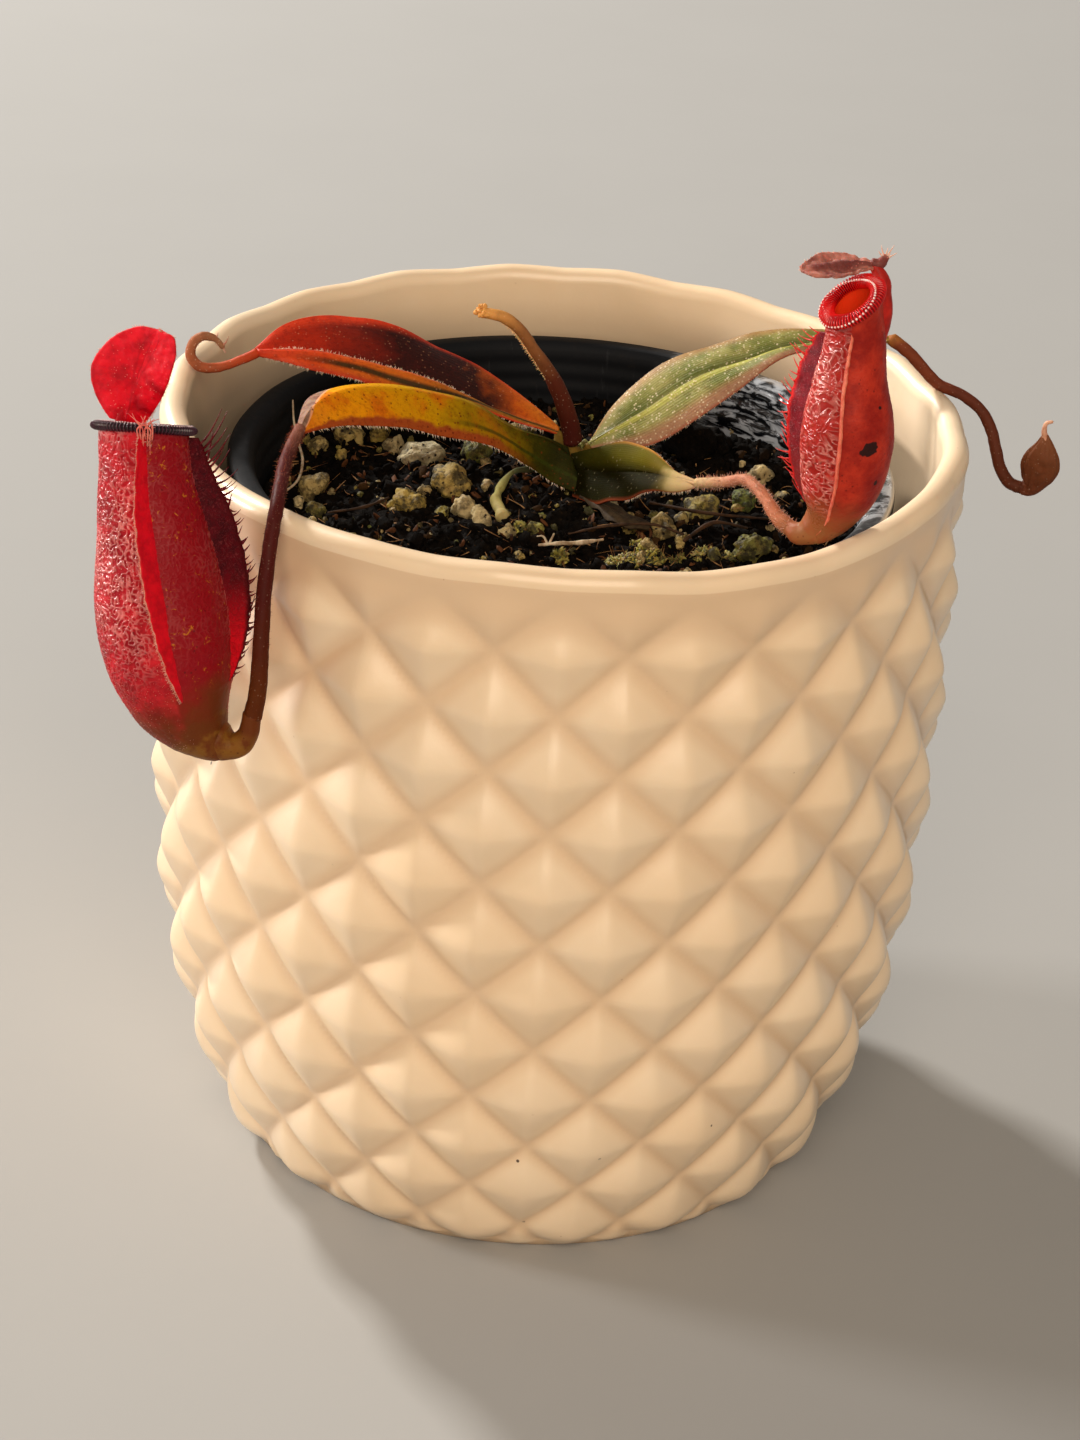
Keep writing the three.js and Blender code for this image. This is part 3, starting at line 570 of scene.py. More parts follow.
def paint_back_left():
    p, along, across = leaf_paint("leaf_red", 0.45, 0.15, 0.35)
    s = p.wander(along, 8, -0.14, 0.14)
    far = p.ramp(s, (0.0, 0.55, 0.15, 0.006), (0.16, 0.50, 0.09, 0.005), (0.3, 0.026, 0.006, 0.004),
                 (0.55, 0.034, 0.005, 0.003), (0.75, 0.24, 0.014, 0.004), (1.0, 0.60, 0.030, 0.006))
    margin = p.math("ADD", across, p.range(along, 0.3, 0.9, 0.0, 0.2))
    far = p.over(far, ((0.62, 0.04, 0.008), p.range(margin, 0.86, 1.1)))
    near = p.ramp(s, (0.0, 0.34, 0.10, 0.008), (0.25, 0.26, 0.12, 0.012), (0.55, 0.60, 0.13, 0.008),
                  (0.8, 0.62, 0.07, 0.008), (1.0, 0.60, 0.04, 0.008))
    base = p.over(
        p.mix(p.range(across, -0.02, 0.05), near, far),
        ((0.60, 0.06, 0.03), p.near(across, -0.04, 0.12, 0.02), 0.75),
        ((0.018, 0.02, 0.004), p.near(across, -0.46, 0.2, 0.04), p.range(along, 0.93, 0.72), 0.93),
        ((0.52, 0.05, 0.012), p.range(across, -0.72, -0.98)),
        ((0.12, 0.012, 0.008), p.cloud(1.6, 5, 0.5, 0.75, 0.7), 0.4))
    base = dots_on(p, mottled(p, base, 0.6), 0.8, (0.8, 0.4, 0.22), 0.25)
    return p.finished(Base_Color=base, Normal=leaf_bump(p))


def paint_front_left():
    p, along, across = leaf_paint("leaf_orange", 0.55, 0.04, 0.4)
    s = p.wander(along, 6, -0.12, 0.12)
    base = p.ramp(s, (0.0, 0.012, 0.013, 0.002), (0.16, 0.035, 0.032, 0.002), (0.3, 0.20, 0.12, 0.002),
                  (0.5, 0.48, 0.25, 0.002), (0.8, 0.76, 0.29, 0.002), (1.0, 0.70, 0.20, 0.01))
    patches = p.cloud(5.5, 5, 0.5, 0.72, 0.6, stretch=(1, 1, 0.4))
    ragged = p.wander(across, 2.5, -0.12, 0.12)
    base = p.over(
        base, ((0.56, 0.09, 0.004), patches, p.range(s, 0.2, 0.5), 0.75),
        ((0.46, 0.035, 0.012), p.range(across, 0.72, 1.0), p.range(along, 0.1, 0.3), 0.85),
        ((0.03, 0.04, 0.004), p.near(across, -0.62, 0.09, 0.02), p.range(along, 0.55, 0.3), 0.8),
        ((0.30, 0.045, 0.012), p.range(ragged, -0.72, -0.86), p.range(along, 0.12, 0.4), 0.92))
    turned = p.math("ADD", along, p.times(across, 0.18))
    grey = p.mix(p.cloud(1.3, 4, 0.4, 0.6), (0.16, 0.09, 0.075), (0.26, 0.17, 0.13))
    base = p.over(mottled(p, base, 0.55), (grey, p.range(turned, 0.895, 0.91), 0.92),
                  ((0.75, 0.36, 0.22), p.near(turned, 0.895, 0.014, 0.0), 0.8))
    base = dots_on(p, base, 0.9, (0.13, 0.022, 0.004), 0.85, 0.3, 0.15)
    return p.finished(Base_Color=base, Normal=leaf_bump(p))


def paint_back_right():
    p, along, across = leaf_paint("leaf_sage", 0.42, 0.15, 0.2)
    base = p.over(
        p.mix(p.cloud(5, 4, 0.35, 0.65), (0.15, 0.165, 0.03), (0.30, 0.28, 0.085)),
        ((0.07, 0.09, 0.015), p.near(across, 0.14, 0.24, 0.03), 0.6),
        ((0.42, 0.40, 0.08), p.near(across, -0.12, 0.13, 0.03), 0.85),
        ((0.40, 0.17, 0.07), p.range(across, 0.55, 0.95), 0.6),
        ((0.42, 0.20, 0.12), p.range(across, -0.45, -0.8), 0.85),
        ((0.34, 0.10, 0.05), p.range(across, -0.9, -1.0)),
        ((0.45, 0.20, 0.03), p.range(along, 0.86, 1.0, 0.0, 0.75)))
    base = p.over(mottled(p, base, 0.45), (
        (0.80, 0.68, 0.46), p.spots(0.62, 0.36, 0.2), p.cloud(2.4, 4, 0.36, 0.58), 0.65))
    return p.finished(Base_Color=base, Normal=leaf_bump(p, 0.012))


def paint_front_right():
    p, along, across = leaf_paint("leaf_olive", 0.6, 0.02, 0.2)
    base = p.ramp(p.wander(along, 5, -0.08, 0.08), (0.0, 0.012, 0.012, 0.002), (0.2, 0.05, 0.045, 0.003),
                  (0.5, 0.10, 0.08, 0.004), (0.7, 0.12, 0.085, 0.008), (0.8, 0.38, 0.28, 0.11),
                  (1.0, 0.52, 0.32, 0.17))
    # Painted shade: the near half of the blade, short of the tip, is painted near black. The edge colours
    # after it are the leaf's own.
    base = p.over(
        base, ((0.008, 0.007, 0.001), p.range(across, 0.5, 0.0), p.range(along, 0.85, 0.68), 0.95),
        ((0.50, 0.20, 0.04), p.range(across, 0.86, 1.0), p.range(along, 0.15, 0.4), 0.7),
        ((0.22, 0.04, 0.015), p.range(across, -0.86, -1.0), 0.7))
    base = dots_on(p, base, 1.0, (0.42, 0.36, 0.2), 0.2)
    return p.finished(Base_Color=base, Normal=leaf_bump(p))


def pitcher_paint(name, flank, deep, front, crest_highlight, foot, bend, flecks):
    """A pitcher's skin, with a painted highlight on the crests of its crinkles. The marks are: along, from
    foot to mouth; face, 1 between the wings; within.
    """
    p = Paint(name, glow=0.2, bleed=(2.2, 0.4, 0.3))
    along, face, crest = p.mark("along"), p.mark("face"), p.mark("crest")
    cloud = p.cloud(4.5, 5, 0.3, 0.7, 0.6)
    fleck = p.times(p.cloud(1.3, 5, 0.60, 0.65, 0.7, warp=1), p.cloud(6, 3, 0.42, 0.54))
    # The crest layer is a painted highlight: pale pink on the crinkles' crests.
    base = p.over(
        p.mix(cloud, flank, deep), (p.mix(cloud, front, deep), face),
        (crest_highlight, crest, p.cloud(9, 3, 0.35, 0.65), 0.58),
        (deep, p.cloud(0.8, 4, 0.5, 0.7, 0.7), 0.5),
        ((0.50, 0.15, 0.012), fleck, face, flecks),
        (foot, p.range(p.wander(along, 5, -0.08, 0.08), 0.3, 0.08)),
        (bend, p.range(along, 0.12, 0.08), p.range(along, 0.02, 0.05), p.cloud(3, 4, 0.42, 0.6), 0.55),
        ((0.05, 0.004, 0.004), p.spots(1.1, 0.22, 0.1), p.cloud(3, 3, 0.5, 0.62), 0.6),
        ((0.028, 0.007, 0.006), p.mark("blot")), ((0.80, 0.05, 0.008), p.mark("within")))
    return p.finished(Base_Color=base, Roughness=p.range(crest, 0, 0.6, 0.5, 0.24),
                      Specular_IOR_Level=p.range(crest, 0, 0.6, 0.12, 0.65),
                      Normal=p.bump(p.noise(0.35, 3, 0.6), 0.05))


def rim_paint(name, ridge, groove, rough, top_highlight):
    """Ridges paler than the grooves between them, with a whitish painted highlight on top of the roll."""
    p = Paint(name, rough, 0.4, 0.1, (1.5, 0.3, 0.2))
    comb = p.mark("comb")
    # The whitish layer on the ridges at the top of the roll is a painted highlight.
    return p.finished(Base_Color=p.over(
        p.mix(p.range(comb, -0.7, 0.5), groove, ridge), (groove, p.cloud(2.5, 4, 0.45, 0.7), 0.5),
        ((0.85, 0.68, 0.70), p.range(comb, 0.0, 0.7), p.range(p.mark("top"), 0.55, 0.95), top_highlight)))


def wing_paint(name, colour, dark, edge, low):
    """A wing, brighter along its free edge, and of another colour low down."""
    p = Paint(name, 0.5, 0.12, 0.3, (1.8, 0.4, 0.3))
    worms = p.near(p.noise(0.8, 2, 0.5, warp=1.2), 0.5, 0.05, 0.0)
    base = p.over(
        p.mix(p.cloud(2.0, 5, 0.35, 0.7, 0.65), colour, dark), ((0.50, 0.09, 0.10), worms, 0.22),
        (low, p.range(p.mark("along"), 0.5, 0.12)), (edge, p.range(p.mark("across"), 0.74, 0.95)))
    return p.finished(Base_Color=base, Normal=p.bump(worms, 0.1))


def lid_paint(name, light, dark, crease):
    """A lid with three veins, painted shade along the crease down its middle, and pale dots."""
    p = Paint(name, 0.5, 0.25, 0.5, (2, 0.3, 0.2))
    across, along = p.mark("across"), p.mark("along")
    base = p.mix(p.cloud(4, 5, 0.38, 0.72, 0.6), light, dark)
    for place in (0.0, 0.42, -0.42):
        base = p.over(base, (dark, p.near(across, p.times(along, along, place), 0.05, 0.0), 0.4))
    furrow_shade = p.near(p.wander(across, 3, -0.45, 0.25), 0.0, 0.42, 0.1)
    # Painted shade: a dark band down the crease in the lid's middle, as strong as crease.
    base = p.over(base, (dark, furrow_shade, p.range(along, 0.97, 0.8), crease))
    base = dots_on(p, base, 0.6, (0.95, 0.30, 0.26), 0.7, 0.2, 0.1)
    return p.finished(Base_Color=base, Normal=p.bump(p.noise(0.7, 5, 0.7), 0.14))


PLAIN = {  # colour, darker mottle, roughness, glow below the surface, clear coat
    "straw": ((0.42, 0.22, 0.08), (0.12, 0.05, 0.02), 0.6, 0.1, 0),
    "chip": ((0.13, 0.045, 0.013), (0.03, 0.012, 0.006), 0.7, 0, 0),
    "root": ((0.66, 0.53, 0.36), (0.24, 0.15, 0.08), 0.6, 0.2, 0),
    "twig": ((0.06, 0.028, 0.012), (0.018, 0.009, 0.005), 0.7, 0, 0),
    "leaf_dead": ((0.07, 0.045, 0.022), (0.02, 0.012, 0.007), 0.7, 0.05, 0),
    "pale_hair": ((0.80, 0.62, 0.48), (0.70, 0.48, 0.34), 0.5, 0.3, 0),
    "spear_hair": ((0.85, 0.55, 0.25), (0.7, 0.4, 0.16), 0.5, 0.3, 0),
    "dark_down": ((0.30, 0.09, 0.05), (0.2, 0.05, 0.03), 0.5, 0.2, 0),
    "stalk_hair": ((0.62, 0.36, 0.26), (0.5, 0.24, 0.16), 0.5, 0.3, 0),
    "wing_bright": ((0.68, 0.0015, 0.012), (0.46, 0.001, 0.009), 0.5, 0.5, 0),
    "pitcher_down": ((0.80, 0.40, 0.30), (0.62, 0.22, 0.16), 0.5, 0.3, 0),
    "wisp": ((0.80, 0.24, 0.18), (0.56, 0.05, 0.05), 0.5, 0.4, 0),
    "wing_hair": ((0.14, 0.006, 0.010), (0.07, 0.003, 0.006), 0.4, 0.2, 0),
    # rim_tooth: the left rim's teeth are painted pale as a painted highlight, the sunlit row along the rim's
    # top.
    "rim_tooth": ((0.72, 0.54, 0.54), (0.30, 0.17, 0.18), 0.25, 0.1, 0.4),
    "wing_pink": ((0.72, 0.19, 0.11), (0.58, 0.08, 0.05), 0.5, 0.35, 0),
    "red_hair": ((0.62, 0.03, 0.02), (0.45, 0.02, 0.015), 0.4, 0.3, 0),
    "rim_bead": ((0.95, 0.80, 0.74), (0.85, 0.5, 0.45), 0.25, 0.2, 0.2),
    "lid_hair": ((0.8, 0.5, 0.38), (0.7, 0.36, 0.26), 0.5, 0.3, 0),
    "hinge": ((0.50, 0.020, 0.012), (0.28, 0.010, 0.008), 0.45, 0.3, 0),
    "bud_hook": ((0.72, 0.42, 0.28), (0.45, 0.18, 0.10), 0.5, 0.3, 0),
}


def plain(name):
    """One of the plain paints."""
    colour, dark, rough, glow, coat = PLAIN[name]
    p = Paint(name, rough, 0.15, glow, Coat_Weight=coat, Coat_Roughness=0.2)
    return p.finished(Base_Color=p.mix(p.cloud(2.0, 5, 0.35, 0.7, 0.65), colour, dark),
                      Normal=p.bump(p.noise(0.5, 4), 0.04))


# ---- cachepot ----

def radius_at(profile, z):
    """The radius of a profile at heights."""
    spots = Line(profile).spots
    return np.interp(z, spots[:, 2], spots[:, 0])


def diamond(angle, z):
    """Height of the relief, 0 in the grooves to 1 on a diamond's point, rounder towards the foot."""
    u = (angle - POT["turn"]) / (TAU / POT["diamonds"])
    v = (POT["first_crossing"] - z) / (2 * POT["row_step"])
    groove = 0.018 + 0.022 * smooth(z / 120)
    across = [w - np.floor(w) - 0.5 for w in (u + v, u - v)]
    ways = [np.sqrt(w**2 + 0.02**2) for w in across]
    nearest = 0.5 * (ways[0] + ways[1] + np.sqrt((ways[0] - ways[1]) ** 2 + 0.05**2))
    height = 1.05 - 2 * nearest
    height = np.clip(np.sqrt(np.maximum(height, 0) ** 2 + groove**2) - groove, 0, 1)
    pillow = np.abs(np.cos(np.pi * across[0]) * np.cos(np.pi * across[1]))
    swell = 1.55 - 0.5 * smooth(z / 115)
    return 1 - (1 - 0.72 * height - 0.28 * pillow) ** swell


def relief(angle, z):
    """How far the diamonds stand out, in millimetres, fading out below the lip."""
    share = smooth(z / POT["full_relief"])
    depth = POT["foot_relief"] + (POT["relief"] - POT["foot_relief"]) * share
    return depth * between(POT["height"] - 3.5 - z, 0, 12) * diamond(angle, z)


def cachepot():
    """One closed wall: the foot, the relief, the rounded lip and the plain inside."""
    columns = POT["diamonds"] * 26
    angle = turns(columns)
    foot, lip = POT["foot_radius"], POT["wall"] / 2
    top = POT["height"] - lip
    profile = [(44, 0.6), (46, 0.5), (47.5, 0), (foot - 1, 0), (foot + 0.4, 0.25)]
    # The height mark is the relief's height, 0 in the grooves and on the foot; the glaze is painted darker
    # there as shade.
    height = [np.zeros(columns)] * len(profile)
    for z in np.linspace(1.6, top - 0.4, 168):
        tuck = 1 - 0.03 * (1 - between(z, 0, 5))
        profile.append(((radius_at(POT_PROFILE, z) + relief(angle, z)) * tuck, z))
        height.append(diamond(angle, z) * between(138 - z, 4, 14))
    for a in np.radians(np.linspace(0, 180, 15)):
        profile.append((POT["lip_radius"] - lip + lip * math.cos(a), top + lip * math.sin(a)))
    inner = np.linspace(top - 1.2, POT["floor"], 60)
    profile += zip(radius_at(POT_INSIDE, inner), inner)
    height += [np.ones(columns)] * (len(profile) - len(height))
    # inside marks the inside wall from a little below the lip, where the glaze is painted darker as shade.
    inside = np.zeros(len(profile))
    inside[-len(inner):] = between(POT["height"] - inner, 3, 12)
    rings = round_rings(profile, angle)
    wave = noise(np.stack([np.sin(angle), np.cos(angle), 0 * angle], -1) * 30, 13, 5)
    scallop = diamond(angle, POT["first_crossing"] + POT["row_step"]) - 0.4
    near_lip = between(rings[..., 2], 110, 138)
    rings[..., 2] += (0.5 * wave + 0.45 * scallop) * near_lip
    rings[..., :2] *= (1 + (0.004 * np.roll(wave, 40) + 0.006 * scallop) * near_lip)[..., None]
    body = loft(rings, (0, 0, 0.6), (0, 0, POT["floor"]), height=np.array(height), inside=inside)
    piece("pot_glazed", body, glaze(), ["cachepot"])


# ---- growing pot ----

def nursery_inside(z):
    """The growing pot's inner radius at a height."""
    n = NURSERY
    foot = n["foot"] - n["sheet"]
    return foot + (n["mouth"] - foot) * (z - n["floor"]) / (n["rim"] - n["floor"])


def nursery_pot():
    """The thin growing pot, with its collar, rings, and the crumples on its right, where silvery reflections
    are painted over the crumpled film and a highlight is painted along the collar's edge.
    """
    floor, foot, sheet = NURSERY["floor"], NURSERY["foot"], NURSERY["sheet"]
    collar, mouth, top = NURSERY["collar"], NURSERY["mouth"], NURSERY["rim"]
    neck = top - NURSERY["drop"]
    profile = [(20, floor), (foot - 2, floor), (foot, floor + 1.5), (nursery_inside(60) + sheet, 60),
               (nursery_inside(neck - 3) + sheet, neck - 3), (collar - 1.6, neck - 0.4),
               (collar - 0.3, neck), (collar, neck + 0.5), (collar, top - 1), (collar - 0.25, top - 0.3),
               (collar - 0.9, top), (mouth + 1.1, top), (mouth + 0.35, top - 0.25), (mouth, top - 0.9)]
    z = top - 1.2
    while z > SOIL_LEVEL - 3:
        ring = 0.10 * math.sin((top - z) * TAU / 3.2)
        profile.append((nursery_inside(z) - 0.25 + ring, z))
        z -= 0.4
    profile += [(nursery_inside(60), 60), (nursery_inside(floor + 2), floor + 2), (20, floor + sheet)]
    angle = turns(1200)
    rings = round_rings(profile, angle)
    z = rings[..., 2]
    reach = np.linalg.norm(rings[..., :2], axis=-1)
    crumple = between(np.cos(angle - math.radians(112)), 0.62, 0.85) * between(z, 108, 121)
    crumple = crumple * between(collar - 0.5 - reach, 0, 0.5)
    ribs = np.sin(angle * 170 + 4.5 * noise(rings * (1, 1, 0.6), 4, 3)) * (0.5 + 0.5 * noise(rings, 2.5, 4))
    ribs = 0.35 * ribs + 1.2 * noise(rings * (0.5, 0.5, 1.5), 1.9, 6)
    # Painted highlight: a pale line along the collar's top edge on the right.
    edge_highlight = between(reach, collar - 0.7, collar - 0.4) * between(z, top - 0.9, top - 0.5)
    edge_highlight = edge_highlight * between(np.cos(angle - math.radians(108)), 0.6, 0.85)
    dents = 0.16 * ribs * crumple + 0.2 * noise(rings, 14, 8) * between(z, 90, 125)
    rings = rings + unit(rings * (1, 1, 0)) * dents[..., None]
    body = loft(rings, (0, 0, floor), (0, 0, floor + sheet), shine=crumple, edge=edge_highlight)
    piece("pot_growing", body, black_plastic(), ["nursery_pot"])


# ---- soil ----

def soil_height(x, y):
    """The soil's rough surface."""
    heaps = np.sin(x * 0.19 + 1) * np.cos(y * 0.16) + 0.6 * np.sin(x * 0.07 - y * 0.23)
    spot = np.stack([x, y, 0 * x], -1)
    rough = 0.9 * noise(spot, 7, 1) + 0.9 * noise(spot, 2.9, 2) + 0.55 * noise(spot, 1.2, 3)
    return SOIL_LEVEL + 0.9 * heaps + rough


def scattered(rng, count, reach):
    """Random places on the soil."""
    away, turn = reach * np.sqrt(rng.random(count)), rng.random(count) * TAU
    return away * np.cos(turn), away * np.sin(turn)


def on_soil(x, y, up=0.0):
    """Points that far above the soil."""
    return np.stack([x, y, soil_height(x, y) + up], -1)


def soil():
    edge = nursery_inside(SOIL_LEVEL) - 0.9
    angle = turns(360)
    ring = np.stack([np.cos(angle), np.sin(angle), np.ones(len(angle))], -1)
    rings = [ring * (r, r, z) for r, z in ((42.3, 9.0), (47.4, 62.0), (edge - 0.3, 112.0))]
    rings += [on_soil(*(ring[:, :2].T * edge * share)) for share in np.linspace(1, 0.01, 120)]
    ground = loft(rings, (0, 0, 9.0), on_soil(np.zeros(1), np.zeros(1))[0], tone=np.zeros(len(rings)))
    material = peat()
    piece("soil_peat", ground, material, ["soil"])

    rng = np.random.default_rng(11)
    count = 6500
    x, y = scattered(rng, count, edge * 0.985)
    size = 0.18 + 0.85 * rng.random(count) ** 3.5
    sizes = size[:, None] * rng.uniform(0.35, 1.5, (count, 3))
    crumbs = lumps(on_soil(x, y, 0.3 * size), sizes, 12, 0.8, 1, tone=rng.random(count))
    clod = lumps([[23, 30, 121.5], [27.5, 33, 120.5]], [[5, 4, 3.4], [3, 3, 2.4]], 14, 0.5, 3, tone=0.8)
    piece("soil_crumbs", joined([crumbs, clod]), material)


STONES = np.array([  # x, y, radius, tone from cream to green: the pale stones that stand out
    [-25, 20.6, 4.3, 0.0], [-30.8, 25.8, 2.2, 0.25], [-15.4, 22, 3.1, 0.9], [-13.1, 8.4, 1.8, 0.3],
    [-16.9, 1.6, 2.1, 0.25], [-20.1, 8.6, 3.2, 0.55], [-43.9, 2.3, 2.6, 0.45], [-44.6, 22.5, 1.8, 0.45],
    [-48, 25.6, 1.5, 0.7], [-39.5, 27.9, 3.0, 0.5], [-34, 30.5, 2.0, 0.6], [-42.7, -5.2, 1.9, 0.8],
    [-26.1, -3.3, 2.7, 0.6], [-20.4, -4.5, 1.6, 0.75], [-13.2, -9, 2.0, 0.2], [-24, 3, 1.3, 0.4],
    [36, 22, 2.4, 0.3], [33.1, 7.6, 2.3, 1.0], [25, 5.2, 3.2, 0.7], [21.8, 2.2, 1.5, 0.5],
    [11.9, -2.6, 2.0, 0.5], [8.8, 3.6, 1.3, 0.0], [33.8, -9.6, 3.5, 0.85], [21.5, -7.6, 1.2, 0.5],
    [18.6, -4.2, 2.2, 0.45], [4.6, 27.5, 1.7, 0.85], [32, 44, 1.5, 0.3], [-8, 33, 2.2, 0.5],
    [14, 38, 1.9, 0.4], [-3.5, -11.5, 1.9, 0.8], [-8.5, -12.5, 1.5, 0.3], [40.5, 17, 1.6, 0.4],
    [16.2, -13.2, 1.7, 0.4],
])


def stones():
    """The stones of the list, and small ones strewn between them."""
    rng = np.random.default_rng(21)
    count = 260
    x, y = scattered(rng, count, 50)
    strewn = [x, y, 0.28 + 1.0 * rng.random(count) ** 2.6, 0.2 + 0.8 * rng.random(count)]
    x, y, size, tone = np.concatenate([STONES.T, strewn], axis=1)
    sizes = size[:, None] * rng.uniform(0.72, 1.12, (len(x), 3))
    centres = on_soil(x, y, 0.35 * size)
    piece("soil_perlite", lumps(centres, sizes, 22, 0.42, 3, tone=tone), perlite())


MOSS = [  # x, y and reach of the tufts along the near side
    [11, -16, 2.2], [14.5, -13.6, 2.4], [17, -15.4, 1.8], [25.5, -12.9, 2.0], [29.5, -12, 1.6],
    [12.6, -18.5, 2.0], [0.6, -15.5, 1.4], [-43, -4.2, 1.0], [21.5, -13.5, 1.5], [-6.5, -10.5, 1.0],
]
ROOTS = [  # points, radii, steps, sides, and bumps with their size and seed
    ([[-3, -19.2, 121.8], [0.5, -19.6, 122.6], [3.3, -18.6, 122.4], [8, -16.2, 122.3]],
     [0.2, 0.36, 0.4, 0.22], 60, 12, 0.1, 1.0, 3),
    ([[-1.2, -19.4, 122.4], [-0.5, -17.5, 123.4]], [0.24, 0.16], 10, 8),
    ([[-1.5, -19.4, 122.2], [-2.4, -17.8, 122.9], [-3.4, -17.4, 122.6]], [0.22, 0.2, 0.12], 14, 8),
    ([[-49.3, 20.6, 128.8], [-48.7, 17.2, 126.2], [-47.5, 13, 124.2], [-46, 6, 123.2], [-46.4, 1.5, 121.6],
      [-48.4, -2.6, 120.9]], [0.16, 0.24, 0.26, 0.22], 90, 8),
]
STICKS = [
    ([[16, 2.5, 121.5], [24, -2, 122.4], [33, -2.5, 122.2], [38, 0, 121]],
     [0.25, 0.34, 0.3, 0.2], 90, 10, 0.12),
    ([[2, -12, 121], [9, -10, 122.2], [17, -8, 122], [22, -9, 121]], [0.2, 0.28, 0.2], 70, 10, 0.1),
    ([[22, -12, 121.2], [27, -8.5, 123.4], [33, -8, 122.6]], [0.28, 0.34, 0.2], 60, 10, 0.1),
    ([[-30, -2, 121], [-34, -8, 121.6], [-40, -10, 121]], [0.2, 0.3, 0.2], 60, 10, 0.1),
]


def litter():
    """Moss, threads, chips, roots and twigs on the soil."""
    rng = np.random.default_rng(31)
    tufts, threads = [], []
    for x0, y0, reach in MOSS:
        count = int(90 * reach)
        x, y = scattered(rng, count, reach)
        x, y = x + x0, y + y0
        heap = 1.4 * np.exp(-((x - x0) ** 2 + (y - y0) ** 2) / reach**2)
        size = rng.uniform(0.5, 1.25, count)
        sizes = size[:, None] * rng.uniform(0.75, 1.25, (count, 3)) * (0.2, 0.3, 0.75)
        centres = on_soil(x, y, heap * rng.random(count))
        tufts.append(lumps(centres, sizes, 32, 0.3, 1, tone=rng.random(count)))
        roots = on_soil(x, y, 0.3 * heap)[::4]
        threads.append(hairs(roots, rng.normal(size=roots.shape) + (0, 0, 0.8),
                             rng.uniform(0.8, 2.2, len(roots)), 0.07, 0.4 * rng.normal(size=roots.shape)))
    p = Paint("moss", 0.6, glow=0.2, bleed=(1000, 200, 100))
    green = p.ramp(p.mark("tone"), (0.0, 0.015, 0.014, 0.003), (0.45, 0.10, 0.09, 0.010),
                   (0.8, 0.50, 0.40, 0.06), (1.0, 0.22, 0.10, 0.025))
    piece("soil_moss", joined(tufts), p.finished(Base_Color=green))

    count = 420
    x, y = scattered(rng, count, 49)
    flat = rng.normal(size=(count, 3)) * (1, 1, 0.22)
    length, radius = rng.uniform(1.2, 5.5, count), rng.uniform(0.05, 0.16, count)
    curl = 0.35 * rng.normal(size=(count, 3)) * (1, 1, 0.3)
    threads.append(hairs(on_soil(x, y, 0.5), flat, length, radius, curl))
    piece("soil_threads", joined(threads), plain("straw"))

    count, by_stem = 240, 26
    x, y = scattered(rng, count, 49)
    x[:by_stem] = -4 + 3.2 * rng.normal(size=by_stem)
    y[:by_stem] = 13.5 + 2.2 * rng.normal(size=by_stem)
    size = rng.uniform(0.4, 1.3, count)
    chips = lumps(on_soil(x, y, 0.5), size[:, None] * (0.9, 0.5, 0.14), 33, 0.6, 1)
    piece("soil_chips", chips, plain("chip"))
    piece("soil_root", joined([tube(*root) for root in ROOTS]), plain("root"))
    piece("soil_twigs", joined([tube(*stick) for stick in STICKS]), plain("twig"))


# ---- leaves ----

def short_hairs(rng, roots, out, least, most, radius):
    """Short straight hairs of random lengths."""
    return hairs(roots, out, rng.uniform(least, most, len(roots)), radius, steps=2, sides=3)


